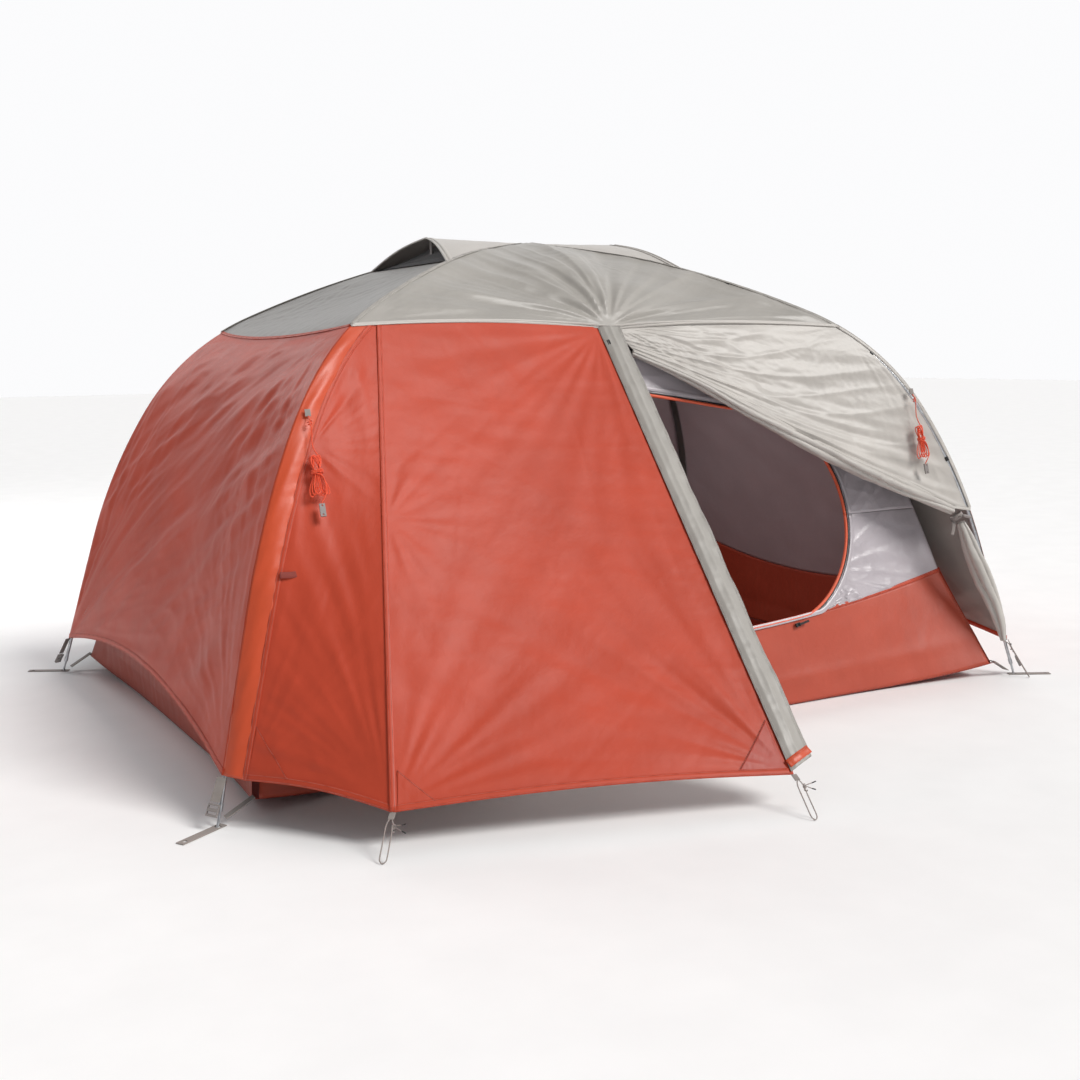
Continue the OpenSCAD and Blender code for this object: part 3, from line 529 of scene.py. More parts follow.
MATERIALS = {
    "orange": cloth_shader("fly_orange_cloth", RUST, 0.46, crinkle=0.3, sheen=0.0, specular=0.28),
    "bright_orange": cloth_shader("pole_band_cloth_and_painted_glow", BRIGHT, 0.40, crinkle=0.3, sheen=0.0),
    "dark_patch": cloth_shader("corner_patch_cloth", linear(168, 62, 46), 0.5),
    "coating": cloth_shader("fly_grey_coating", linear(160, 153, 148), 0.4, sheen=0.1),
    "grey": cloth_shader("fly_grey_cloth", GREY, 0.40, crinkle=0.3),
    # painted shade: the end roofs are the same grey fly cloth as the front roofs, given a darker grey
    # because they lie in shade
    "shaded_grey": cloth_shader("end_roof_grey_painted_shade", linear(128, 125, 121), 0.40, crinkle=0.3),
    "pale_grey": cloth_shader("grey_cloth_painted_lit", PALE, 0.42, crinkle=0.3),
    "lilac": cloth_shader("inner_wall_cloth", LILAC, 0.34, sheen=0.1, crinkle=0.6, specular=0.7),
    "tub": cloth_shader("bathtub_cloth", TUB, 0.5, crinkle=0.4),
    "floor": cloth_shader("floor_cloth", FLOOR_RED, 0.45, crinkle=0.6),
    "mesh": mesh_shader("insect_mesh", linear(60, 58, 60)),
    "binding": cloth_shader("door_binding_cloth", linear(222, 95, 62), 0.5, crinkle=0.2),
    "black_tape": webbing_shader("black_seam_tape", linear(34, 30, 32)),
    "webbing": webbing_shader("grey_webbing", linear(150, 141, 136)),
    "rust_webbing": webbing_shader("rust_webbing", linear(140, 52, 40)),
    "thread": cord_shader("sewing_thread", linear(190, 120, 105), linear(120, 60, 50)),
    "grey_thread": cord_shader("grey_sewing_thread", linear(196, 190, 184), linear(130, 124, 120)),
    "guy_cord": cord_shader("orange_guy_cord", linear(246, 86, 40), linear(205, 52, 24)),
    "loop_cord": cord_shader("grey_loop_cord", linear(168, 156, 150), linear(96, 88, 84)),
    "strap": hard_shader(
        "grey_strap", linear(146, 138, 133), 0.75, scale=900.0, strength=0.6, stretch=(1, 1, 3)
    ),
    "zip_black": hard_shader("black_zip_tape", linear(40, 36, 38), 0.6, scale=800.0, strength=0.5),
    "black": hard_shader("black_sleeve", linear(28, 27, 28), 0.4),
    "plastic": hard_shader("grey_plastic", linear(136, 129, 126), 0.45),
    "aluminium": hard_shader(
        "anodised_aluminium", linear(196, 198, 202), 0.3, metallic=1.0, strength=0.08, stretch=(1, 1, 6)
    ),
}


# ======== Mesh helpers ========
def mesh_piece(name, verts, faces, uvs, materials, face_materials=None, body="tent"):
    mesh = bpy.data.meshes.new(name)
    mesh.from_pydata(np.asarray(verts, float).tolist(), [], [list(map(int, f)) for f in faces])
    for key in materials:
        mesh.materials.append(MATERIALS[key])
    if face_materials is not None:
        mesh.polygons.foreach_set("material_index", np.asarray(face_materials, np.int32))
    corner_verts = np.zeros(len(mesh.loops), np.int32)
    mesh.loops.foreach_get("vertex_index", corner_verts)
    layer = mesh.uv_layers.new(name="UVMap")
    layer.data.foreach_set("uv", np.asarray(uvs, float)[corner_verts].ravel())
    mesh.shade_smooth()
    mesh.update()
    piece = bpy.data.objects.new(name, mesh)
    bpy.context.scene.collection.objects.link(piece)
    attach(piece, body)
    return piece


def grid_faces(rows, cols):
    k = (np.arange(rows - 1)[:, None] * cols + np.arange(cols - 1)).ravel()
    return np.stack((k, k + 1, k + cols + 1, k + cols), 1)


def shell(name, points, outer, inner=None, thick=FLY_T, outward=UP, uv=None, body="tent"):
    """A sheet of real thickness from a grid of points, with its own lining colour."""
    rows, cols = points.shape[:2]
    normal = grid_normals(points)
    turned = (normal * np.asarray(outward)).sum(-1).mean() < 0
    if turned:
        normal = -normal
    count = rows * cols
    verts = np.concatenate((points.reshape(-1, 3), (points - normal * thick).reshape(-1, 3)))
    top = grid_faces(rows, cols)
    ring = np.concatenate((
        np.arange(cols), np.arange(1, rows) * cols + cols - 1,
        (rows - 1) * cols + np.arange(cols - 2, -1, -1), np.arange(rows - 2, 0, -1) * cols,
    ))
    after = np.roll(ring, -1)
    rim = np.stack((after, ring, ring + count, after + count), 1)
    faces = np.concatenate((top[:, ::-1], top + count, rim[:, ::-1]))
    if turned:
        faces = faces[:, ::-1]
    if uv is None:
        cloth = Cloth(points, outward, 0)
        uv = np.stack((cloth.x, cloth.y), -1)
    uvs = np.concatenate((uv.reshape(-1, 2),) * 2)
    kinds = np.concatenate((np.zeros(len(top)), np.ones(len(top)), np.zeros(len(rim))))
    return mesh_piece(name, verts, faces, uvs, (outer, inner or outer), kinds, body)


def sewn(name, cloth, outer, inner, nodes, thick=FLY_T, body="tent"):
    """Makes a Cloth into a piece that stands for its CAD nodes."""
    uv = np.stack((cloth.x, cloth.y), -1)
    piece = shell(name, cloth.points, outer, inner, thick, cloth.normal, uv, body)
    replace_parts(piece, *nodes)
    return piece


def distances(path):
    """How far along a line each of its points is."""
    return np.concatenate(([0], np.cumsum(np.linalg.norm(np.diff(path, axis=0), axis=1))))


def resample(path, count):
    """The same line with evenly spaced points."""
    path = np.asarray(path, float)
    at = distances(path)
    want = np.linspace(0, at[-1], count)
    return np.stack([np.interp(want, at, path[:, k]) for k in range(3)], 1)


def curve_through(points, count):
    """A smooth line through a few given points (Catmull-Rom)."""
    p = np.asarray(points, float)
    p = np.vstack((2 * p[0] - p[1], p, 2 * p[-1] - p[-2]))
    spans = len(p) - 3
    out = []
    for t in np.linspace(0, spans, count):
        i = min(int(t), spans - 1)
        f = t - i
        a, b, c, d = p[i:i + 4]
        out.append(0.5 * (2 * b + (c - a) * f + (2 * a - 5 * b + 4 * c - d) * f ** 2
                          + (3 * b - a - 3 * c + d) * f ** 3))
    return np.array(out)


def path_length(path):
    return float(np.linalg.norm(np.diff(path, axis=0), axis=1).sum())


class Bag:
    """Collects small strips and tubes of one finish into one piece."""

    def __init__(self):
        self.verts, self.faces, self.uvs, self.count = [], [], [], 0

    def add(self, verts, faces, uvs):
        self.verts.append(verts)
        self.faces.extend([[k + self.count for k in f] for f in faces])
        self.uvs.append(uvs)
        self.count += len(verts)

    def ribbon(self, path, up, width, thick, lift=0.0):
        """A flat strap with softened edges along a line; up is the side it faces."""
        path = np.asarray(path, float)
        up = np.broadcast_to(np.asarray(up, float), path.shape)
        along = unit(np.gradient(path, axis=0))
        across = unit(np.cross(up, along))
        up = np.cross(along, across)
        w, t, c = width / 2, thick, min(thick, width) * 0.3
        profile = (
            (-w, c), (-w + c, 0), (w - c, 0), (w, c),
            (w, t - c), (w - c, t), (-w + c, t), (-w, t - c),
        )
        sides = len(profile)
        rings = [path + across * a + up * (b + lift) for a, b in profile]
        verts = np.stack(rings, 1).reshape(-1, 3)
        at = distances(path)
        uvs = np.stack([np.stack((at, np.full(len(path), a)), 1) for a, _ in profile], 1).reshape(-1, 2)
        self.add(verts, tube_faces(len(path), sides), uvs)

    def tube(self, path, radius, sides=8):
        verts, faces, uvs = tube_mesh(path, radius, sides)
        self.add(verts, faces, uvs)

    def stitches(self, path, up, offset, pitch=0.0042, stitch=0.0028, width=0.0007, thick=0.0006, lift=0.0):
        """A row of stitches beside a line: short raised bars with gaps."""
        path = np.asarray(path, float)
        total = path_length(path)
        count = max(int(total / pitch), 1)
        at = distances(path)
        up = np.broadcast_to(np.asarray(up, float), path.shape)
        middle = (np.arange(count) + 0.5) * total / count

        def spot(d, field):
            return np.stack([np.interp(d, at, field[:, k]) for k in range(3)], 1)

        centre, facing = spot(middle, path), unit(spot(middle, up))
        ahead = unit(spot(middle + 0.0015, path) - spot(middle - 0.0015, path))
        across = unit(np.cross(facing, ahead))
        facing = np.cross(ahead, across)
        centre = centre + across * offset + facing * lift
        ends = [(-0.5, -1, 0), (0.5, -1, 0), (0.5, 1, 0), (-0.5, 1, 0), (-0.3, -0.6, 1), (0.3, -0.6, 1),
                (0.3, 0.6, 1), (-0.3, 0.6, 1)]
        verts = np.stack([
            centre + ahead * (stitch * a) + across * (width * b / 2) + facing * (thick * c)
            for a, b, c in ends
        ], 1).reshape(-1, 3)
        box = [(3, 2, 1, 0), (4, 5, 6, 7), (0, 1, 5, 4), (1, 2, 6, 5), (2, 3, 7, 6), (3, 0, 4, 7)]
        faces = [[k * 8 + i for i in f] for k in range(count) for f in box]
        uvs = np.stack((np.repeat(middle, 8), np.tile(np.arange(8) * width / 8, count)), 1)
        self.add(verts, faces, uvs)

    def build(self, name, material, slot, body="tent"):
        verts, uvs = np.concatenate(self.verts), np.concatenate(self.uvs)
        piece = mesh_piece(name, verts, self.faces, uvs, (material,), None, body)
        return piece


def tube_faces(rings, sides):
    faces = [
        [i * sides + k, i * sides + (k + 1) % sides, (i + 1) * sides + (k + 1) % sides, (i + 1) * sides + k]
        for i in range(rings - 1) for k in range(sides)
    ]
    faces.append(list(range(sides - 1, -1, -1)))
    faces.append([(rings - 1) * sides + k for k in range(sides)])
    return faces


def tube_frames(path):
    """Side and other directions along a line, turning as little as possible."""
    along = unit(np.gradient(path, axis=0))
    start = UP if abs(along[0][2]) < 0.9 else np.array((0.0, 1.0, 0.0))
    side = unit(np.cross(along[0], start))
    sides = []
    for d in along:
        side = unit(side - d * (side @ d))
        sides.append(side)
    sides = np.array(sides)
    return sides, np.cross(along, sides)


def tube_mesh(path, radius, sides=8, shape=None):
    """A tube along a line; shape gives a factor on the radius for each ring and side."""
    path = np.asarray(path, float)
    radius = np.broadcast_to(np.asarray(radius, float), (len(path),))
    side, other = tube_frames(path)
    angle = np.arange(sides) * 2 * math.pi / sides
    reach = radius[:, None] * (np.ones((len(path), sides)) if shape is None else shape)
    ring = side[:, None] * np.cos(angle)[:, None] + other[:, None] * np.sin(angle)[:, None]
    verts = (path[:, None] + ring * reach[..., None]).reshape(-1, 3)
    at = distances(path)
    uvs = np.stack((
        np.repeat(at, sides), np.tile(angle, len(path)) * np.repeat(radius, sides)
    ), 1)
    return verts, tube_faces(len(path), sides), uvs


# ======== Camera, light and floor ========
CAMERA_PLACE = (-1.882, -3.275, 0.933)
CAMERA_YAW, CAMERA_PITCH, CAMERA_ROLL = 0.531, 0.142, -0.010
LENS_MM = 43.8
SENSOR_MM = 36
NEAR_CLIP = 0.05
SUN_POWER = 2.6
SUN_SOFTNESS = math.radians(24)
SUN_TURN = (math.radians(47), 0, math.radians(34))
SUN_TINT = (1.0, 0.985, 0.96)
INSIDE_TINT = (1.0, 0.93, 0.90)
BRIGHT_SIDE = (0.8, 0.6, 0)
SHADE_END, SHADE_TINT = 0.62, (0.30, 0.30, 0.31, 1)
BRIGHT_START, BRIGHT_TINT = 0.82, (0.97, 0.97, 0.98, 1)
FLOOR_SIZE = 60
FLOOR_Z = -0.0005
FLOOR_DARK, FLOOR_LIGHT = (0.90, 0.90, 0.90, 1), (0.93, 0.93, 0.93, 1)


def placed(x, y, z, place):
    """A world matrix from three axes and a place."""
    matrix = np.eye(4)
    matrix[:3] = np.stack((x, y, z, place), 1)
    return Matrix(matrix.tolist())


def add_camera():
    yaw, pitch, roll = CAMERA_YAW, CAMERA_PITCH, CAMERA_ROLL
    forward = np.array((math.sin(yaw) * math.cos(pitch), math.cos(yaw) * math.cos(pitch), -math.sin(pitch)))
    level = np.array((math.cos(yaw), -math.sin(yaw), 0))
    high = np.cross(level, forward)
    right = level * math.cos(roll) + high * math.sin(roll)
    top = high * math.cos(roll) - level * math.sin(roll)
    camera = bpy.data.objects.new("camera", bpy.data.cameras.new("camera"))
    camera.data.lens = LENS_MM
    camera.data.sensor_width = SENSOR_MM
    camera.data.clip_start = NEAR_CLIP
    camera.matrix_world = placed(right, top, -forward, CAMERA_PLACE)
    bpy.context.scene.collection.objects.link(camera)
    bpy.context.scene.camera = camera


def area_light(name, place, target, size, power, color=(1, 1, 1)):
    """A square lamp that faces its target."""
    light = bpy.data.objects.new(name, bpy.data.lights.new(name, "AREA"))
    light.data.size = size
    light.data.energy = power
    light.data.color = color
    z = unit(np.asarray(place, float) - np.asarray(target, float))
    x = unit(np.cross(UP, z))
    light.matrix_world = placed(x, np.cross(z, x), z, place)
    bpy.context.scene.collection.objects.link(light)


def add_studio():
    """Soft key light, a rim light, a weak lamp inside, and a world that is pale on the key side."""
    sun = bpy.data.objects.new("key_light", bpy.data.lights.new("key_light", "SUN"))
    sun.data.energy = SUN_POWER
    sun.data.angle = SUN_SOFTNESS
    sun.data.color = SUN_TINT
    sun.rotation_euler = SUN_TURN
    bpy.context.scene.collection.objects.link(sun)
    area_light("rim_light", (-2.6, 4.0, 3.6), target=(0, 0, 0.6), size=1.6, power=60)
    inside = (0.1, 0.0, 0.90)
    area_light("inside_light", inside, target=(0.1, 0.1, 0), size=0.5, power=4.0, color=INSIDE_TINT)
    world = bpy.data.worlds.new("studio")
    world.use_nodes = True
    nodes, links = world.node_tree.nodes, world.node_tree.links
    place = nodes.new("ShaderNodeTexCoord")
    split = nodes.new("ShaderNodeVectorMath")
    split.operation = "DOT_PRODUCT"
    split.inputs[1].default_value = BRIGHT_SIDE
    ramp = nodes.new("ShaderNodeValToRGB")
    spread = nodes.new("ShaderNodeMapRange")
    spread.inputs["From Min"].default_value = -1.0
    links.new(place.outputs["Generated"], split.inputs[0])
    links.new(split.outputs["Value"], spread.inputs["Value"])
    links.new(spread.outputs["Result"], ramp.inputs["Fac"])
    low, high = ramp.color_ramp.elements
    low.position, low.color = SHADE_END, SHADE_TINT
    high.position, high.color = BRIGHT_START, BRIGHT_TINT
    links.new(ramp.outputs["Color"], nodes["Background"].inputs["Color"])
    bpy.context.scene.world = world
    bpy.context.scene.view_settings.view_transform = "Standard"


def add_floor():
    bpy.ops.mesh.primitive_plane_add(size=FLOOR_SIZE, location=(0, 0, FLOOR_Z))
    floor = bpy.context.object
    floor.name = "studio_floor"
    s = Shader("studio_floor_paint", 0.9)
    grain = s.add("TexNoise", {"Vector": s.place("Object"), "Scale": 6.0, "Detail": 4.0})
    s.color(s.ramp(grain.outputs["Fac"], ((0.3, FLOOR_DARK), (0.7, FLOOR_LIGHT))))
    floor.data.materials.append(s.material)


add_camera()
add_studio()
add_floor()


# ======== Cords: folded guylines and stake loops ========
HANK_TURNS, TURN_STEPS = 7, 28
HANK_TOP, HANK_BOTTOM = 0.090, 0.182
HANK_NECK = 0.078
HANK_TURN_R = 0.0085
HANK_SLACK = 0.004
HANK_FAN = 0.030
HANK_STAGGER = 0.010
LAYER_Z, LAYER_STEP, LAYERS = 0.0040, 0.0026, 3
WAIST_TURNS, WAIST_STEPS = 3, 14
WAIST_WIDE, WAIST_HIGH = 0.0125, 0.0066
WAIST_Z = 0.0068
WAIST_PITCH = 0.0030
KNOT_STEPS, KNOT_TURN = 13, 1.05
KNOT_X, KNOT_PITCH = 0.012, 0.0009
KNOT_WIDE, KNOT_HIGH = 0.0042, 0.0038
KNOT_Z = 0.0065
HANK_POINTS = 900


def hank_knot():
    """The knot that ties the guyline to its tab."""
    turns = [j * KNOT_TURN for j in range(KNOT_STEPS)]
    return [
        (KNOT_X + KNOT_PITCH * j, KNOT_WIDE * math.sin(a), KNOT_Z + KNOT_HIGH * math.cos(a))
        for j, a in enumerate(turns)
    ]


def hank_turn(k, middle):
    """One long turn of the folded cord, pinched at the waist."""
    spread = (k - (HANK_TURNS - 1) / 2) / HANK_TURNS
    half = (HANK_BOTTOM - HANK_TOP) / 2 - HANK_SLACK * abs(math.sin(k * 2.3))
    layer = LAYER_Z + LAYER_STEP * (k % LAYERS)
    points = []
    for j in range(TURN_STEPS):
        a = 2 * math.pi * (j + 0.5) / TURN_STEPS - math.pi
        x = middle + half * math.cos(a)
        pinch = 1.25 - 0.75 * math.exp(-((x - middle) / 0.022) ** 2)
        y = HANK_TURN_R * math.sin(a) * pinch + spread * HANK_FAN * ((x - middle) / half)
        points.append((x, y + spread * HANK_STAGGER, layer + 0.0010 * math.sin(a + k)))
    return points


def hank_waist(middle):
    """The turns that bind the folded cord round its middle."""
    points = []
    for j in range(WAIST_TURNS * WAIST_STEPS):
        a = 2 * math.pi * j / WAIST_STEPS
        x = middle - 0.012 + WAIST_PITCH * j / WAIST_STEPS
        points.append((x, WAIST_WIDE * math.sin(a), WAIST_Z + WAIST_HIGH * math.cos(a)))
    return points


def hank_path():
    """A folded guyline in its own frame: x down the cloth, y across it, z off it."""
    middle = (HANK_TOP + HANK_BOTTOM) / 2
    points = [(0, 0, 0.003), (0.005, 0.001, 0.004)] + hank_knot()
    points += [(0.040, 0.0015, 0.005), (0.060, -0.001, 0.0045), (HANK_NECK, 0.0005, 0.006)]
    for k in range(HANK_TURNS):
        points += hank_turn(k, middle)
    points += hank_waist(middle)
    points += [
        (middle + 0.004, 0.009, 0.012), (HANK_BOTTOM - 0.020, 0.013, 0.012), (HANK_BOTTOM, 0.010, 0.010),
        (HANK_LEN, 0.001, 0.007), (HANK_LEN + 0.007, 0, 0.006),
    ]
    return curve_through(points, HANK_POINTS)


def local_frame(anchor, down, out):
    """Axes of a piece that hangs on the cloth: x down, z off the cloth."""
    x = unit(down)
    y = unit(np.cross(out, x))
    return np.asarray(anchor, float), np.stack((x, y, np.cross(x, y)))


def add_guyline(name, anchor, down, out, flips):
    """One folded guyline, hanging from its tab with the tensioner at its lower end."""
    origin, axes = local_frame(anchor, down, out)
    path = (origin + hank_path() @ axes) * flips
    verts, faces, uvs = tube_mesh(path, GUY_D / 2, 8)
    body = name + "_guyline"
    piece = mesh_piece(name + "_guyline_cord", verts, faces, uvs, ("guy_cord",), None, body)
    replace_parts(piece, name + "_hank")


GUYLINES = (
    ("front_left", GUY_LEFT, (1, 1, 1)), ("front_right", GUY_RIGHT, (1, 1, 1)),
    ("rear_right", GUY_LEFT, (-1, -1, 1)), ("rear_left", GUY_LEFT, (1, -1, 1)),
)
for name, place, flips in GUYLINES:
    add_guyline(name, *place, flips)

STAKE_POINTS = {
    "front_left": SIDE_STAKE, "front_apex": APEX, "front_right": np.array(BUNDLE_PATH[-1]),
    "rear_left": half_turn(FAR_STAKE), "rear_apex": half_turn(APEX), "rear_right": half_turn(SIDE_STAKE),
}


TAB_DROP = 0.010
KNOT_SPOT = 0.16
KNOT_R = 0.0026
LOOP_KNOT_PITCH = 0.0012
TAIL_L = 0.009


def tab_end(p):
    """Where a stake loop leaves the tab at a hem corner."""
    return p + unit(p * (1, 1, 0)) * TAB_L - UP * TAB_DROP


def loop_path(start, run, side):
    """Down one side of a stake loop, round the stake and up the other side."""
    half = (
        (0.002, 0.0), (LOOP_HALF_W * 0.8, 0.08), (LOOP_HALF_W, 0.2), (LOOP_HALF_W, 0.5), (LOOP_HALF_W, 0.88),
    )
    spots = [start + side * w + run * f for w, f in half]
    spots += [start + side * LOOP_HALF_W * 0.6 + run * 0.97, start + run,
              start - side * LOOP_HALF_W * 0.6 + run * 0.97]
    spots += [start - side * w + run * f for w, f in half[::-1]]
    return curve_through(spots, 90)


def knot_coil(centre, axis, side):
    """The cord wound round itself where the loop is tied."""
    return [
        centre + axis * (LOOP_KNOT_PITCH * k - 0.003)
        + KNOT_R * (side * math.cos(k * 1.1) + UP * math.sin(k * 1.1))
        for k in range(13)
    ]


def add_stake_loop(name, p):
    """A taut cord loop from its tab to the ground and back, with its knot and dark sleeves."""
    out = unit(p * (1, 1, 0))
    side = np.array((-out[1], out[0], 0))
    start = tab_end(p) + out * 0.0015 + UP * 0.001
    ground = p * (1, 1, 0) + out * (TAB_L + STAKE_PULL) + UP * (LOOP_D / 2 + 0.0001)
    run = ground - start
    path = loop_path(start, run, side)
    verts, faces, uvs = tube_mesh(path, LOOP_D / 2, 8)
    piece = mesh_piece(name + "_stake_loop_cord", verts, faces, uvs, ("loop_cord",))
    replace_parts(piece, name + "_stake_loop")
    knot = Bag()
    centre = start + side * (LOOP_HALF_W + LOOP_KNOT_PITCH) + run * KNOT_SPOT
    coil = knot_coil(centre, run / np.linalg.norm(run), side)
    knot.tube(curve_through(coil, 60), LOOP_D / 2, 7)
    sleeves = Bag()
    for lean in (-0.35, 0.35):
        reach = unit(side + lean * UP + 0.2 * out)
        ends = [centre, centre + reach * TAIL_L, centre + reach * 2 * TAIL_L - UP * 0.001]
        knot.tube(curve_through(ends, 10), LOOP_D * 0.4, 7)
        sleeves.tube([ends[2], ends[2] + reach * TAIL_L], LOOP_D * 0.52, 8)
    pieces = [knot.build(name + "_loop_knot", "loop_cord", "loop_cord"),
              sleeves.build(name + "_loop_sleeves", "black", "loop_cord")]


for name, p in STAKE_POINTS.items():
    add_stake_loop(name, p)


# ======== Fly ========
seams = {"orange": Bag(), "bright_orange": Bag(), "grey": Bag(), "pale_grey": Bag()}
threads = {"thread": Bag(), "grey_thread": Bag()}


def both_ends(points):
    """The rear vestibule is the front one turned half round."""
    return points, half_turn(points)


def sew_seam(path, up, color, width=SEAM_W, thread="thread", lift=0.0004, rows=(-0.28, 0.28), proud=SEAM_T):
    """A flat seam along a line, with two rows of stitches."""
    path = resample(path, max(int(path_length(path) / 0.012), 4))
    up = resample(up, len(path)) if np.ndim(up) == 2 else up
    seams[color].ribbon(path, up, width, proud, lift)
    for row in rows:
        threads[thread].stitches(path, up, row * width, lift=lift + proud)


def lines(rows):
    return np.linspace(0, 1, rows)


def ruled(a, b, cols):
    """A grid of straight lines from each point of a to the same point of b."""
    v = lines(cols)[None, :, None]
    return a[:, None] * (1 - v) + b[:, None] * v


def front_roof():
    """Grid of the roof between two poles, from the hub to the eave and over the brow pole."""
    rows, half = 130, 110
    f = 0.012 + 0.988 * lines(rows) ** 0.9
    middle = np.array([brow(-1, BROW_SWEEP * k) for k in f[:-1]] + [BROW_END])
    q = lines(half + 1)
    bow = (f ** 3)[:, None, None]
    parts = []
    for corner, start in ((FL, EAVE_LEFT), (FR, EAVE_RIGHT)):
        grid = ruled(arm_line(corner, EAVE_T * f), middle, half + 1)
        parts.append(grid + bow * eave_bow(start, q)[None])
    return np.concatenate((parts[0], parts[1][:, -2::-1]), axis=1)


def roof_cloth(points, seed):
    """Sags between the poles, with gathers that run out from the end of the brow pole."""
    cloth = Cloth(points, UP, seed)
    lobe = np.sin(math.pi * np.clip(np.abs(cloth.v - 0.5) * 2, 0, 1)) * smooth(cloth.s * 3)
    cloth.height -= 0.016 * lobe * np.sin(math.pi * np.clip(cloth.s, 0, 1)) ** 0.7
    cloth.fan(0.99, 0.5, spread=5, amount=0.0170, reach=0.40, start=0.02, sharp=False)
    cloth.fan(0.99, 0.5, spread=9, amount=0.0080, reach=0.30, start=0.02)
    cloth.fan(0.98, 0.02, spread=8, amount=0.0030, reach=0.3, sharp=False)
    cloth.fan(0.98, 0.98, spread=8, amount=0.0030, reach=0.3, sharp=False)
    cloth.folds(28, wave=0.08, amount=0.0030)
    cloth.folds(-32, wave=0.07, amount=0.0030)
    cloth.crinkle(0.04, 0.0006)
    cloth.creases(22, 0.0009)
    for side in ("left", "right", "bottom"):
        cloth.pucker(side)
    from_brow = np.abs(cloth.v - 0.5) * cloth.width
    gathers = noise(cloth.y / 0.012, from_brow / 0.05, seed + 3) * np.exp(-from_brow / 0.03)
    cloth.height += 0.0012 * gathers * cloth.held(0.02)
    return cloth


def add_roofs():
    """The two grey roof pieces that meet over the brow pole."""
    for name, points, seed in zip(("front", "rear"), both_ends(front_roof()), (11, 31)):
        cloth = roof_cloth(points, seed)
        sewn(f"roof_{name}_cloth", cloth, "grey", "coating", [f"roof_{name}"])
        edge, up = cloth.points[-1], cloth.normal[-1]
        for shift in (0.0035, -0.0035):
            down = unit(cloth.points[-1] - cloth.points[-2])
            beside = resample(edge + down * shift, 200)
            seams["pale_grey"].ribbon(beside, resample(up, 200), 0.006, 0.0026, 0.0002)
        threads["grey_thread"].stitches(edge, up, 0.0, lift=0.0016)
        for col, cut in ((0, 1), (-1, 1)):
            sew_seam(cloth.points[cut:, col], cloth.normal[cut:, col], "grey", thread="grey_thread")


EAVE_DIP_T = 0.10


def end_grid(side, rows, cols, top, low):
    """Cloth between the two poles of one end; top and low are pole lengths, one for each column."""
    v = lines(cols)
    ts = top + (low - top)[None, :] * lines(rows)[:, None]
    near = np.stack([arm_line((side, -1), ts[:, j]) for j in range(cols)], 1)
    far = near * (1, -1, 1)
    return near * (1 - v)[None, :, None] + far * v[None, :, None]


def arc(cols):
    """0 at both ends and 1 in the middle."""
    return 1 - (2 * lines(cols) - 1) ** 2


def end_roof(side, cols=150):
    return end_grid(side, 90, cols, VENT_T, EAVE_T + EAVE_DIP_T * arc(cols))


def end_panel(side, cols=190):
    top = EAVE_T + EAVE_DIP_T * arc(cols)
    return end_grid(side, 170, cols, top, HEM_T - HEM_RISE_T * arc(cols))


def add_ends():
    """Roof and wall cloth at the two ends of the tent."""
    for name, side, seed in (("left", -1, 51), ("right", 1, 71)):
        out = (side, 0, 0.4)
        roof = Cloth(end_roof(side), UP, seed)
        roof.belly(0.020)
        roof.fan(0.02, 0.02, spread=9, amount=0.003, reach=0.35)
        roof.fan(0.02, 0.98, spread=9, amount=0.003, reach=0.35)
        roof.fan(0.98, 0.02, spread=10, amount=0.003, reach=0.3)
        roof.fan(0.98, 0.98, spread=10, amount=0.003, reach=0.3)
        roof.folds(12, wave=0.05, amount=0.0012)
        roof.crinkle(0.035, 0.0006)
        roof.creases(10, 0.0009)
        roof.pucker("left")
        roof.pucker("right")
        roof.pucker("bottom")
        # the end roofs get the darker grey: painted shade for the shade they lie in
        sewn(f"roof_{name}_cloth", roof, "shaded_grey", "coating", [f"roof_{name}"])
        end = Cloth(end_panel(side), out, seed + 5)
        end.belly(0.034)
        end.fan(0.99, 0.99, spread=7, amount=0.0100, reach=0.80, start=0.04, sharp=False)
        end.fan(0.99, 0.99, spread=11, amount=0.0050, reach=0.70, start=0.03)
        end.fan(0.01, 0.01, spread=7, amount=0.0080, reach=0.60, start=0.05, sharp=False)
        end.fan(0.01, 0.01, spread=12, amount=0.0030, reach=0.50, start=0.03)
        end.fan(0.99, 0.01, spread=8, amount=0.0040, reach=0.45)
        end.folds(27, wave=0.085, amount=0.0100, stretch=5)
        end.folds(31, wave=0.040, amount=0.0052, stretch=7)
        end.folds(24, wave=0.022, amount=0.0012, stretch=10, sharp=True)
        end.crinkle(0.04, 0.0004)
        end.creases(14, 0.0008, length=0.4)
        for edge in ("left", "right", "top", "bottom"):
            end.pucker(edge, pitch=0.016, amount=0.0008)
        sewn(f"end_{name}_cloth", end, "orange", "coating", [f"end_{name}"])
        sew_seam(end.points[0], end.normal[0], "orange")
        hem(end, "bottom", "orange")


def hem(cloth, edge, color, thread="thread"):
    """A folded hem along one edge of a piece, stitched once."""
    p, n = cloth.points, cloth.normal
    take = {"bottom": (p[-1], n[-1], p[-3]), "top": (p[0], n[0], p[2]),
            "left": (p[:, 0], n[:, 0], p[:, 2]), "right": (p[:, -1], n[:, -1], p[:, -3])}[edge]
    line, up, inside = take
    inward = unit(inside - line)
    count = max(int(path_length(line) / 0.012), 6)
    line = resample(line + inward * (HEM_W / 2 - 0.001), count)
    up = resample(up, count)
    for face in (1, -1):
        seams[color].ribbon(line, up * face, HEM_W, 0.0011, 0.0002 if face > 0 else FLY_T)
    threads[thread].stitches(line, up, HEM_W * 0.34, lift=0.0013)
    threads[thread].stitches(line, up, -HEM_W * 0.34, lift=0.0013)


CORNER_ROWS = 180


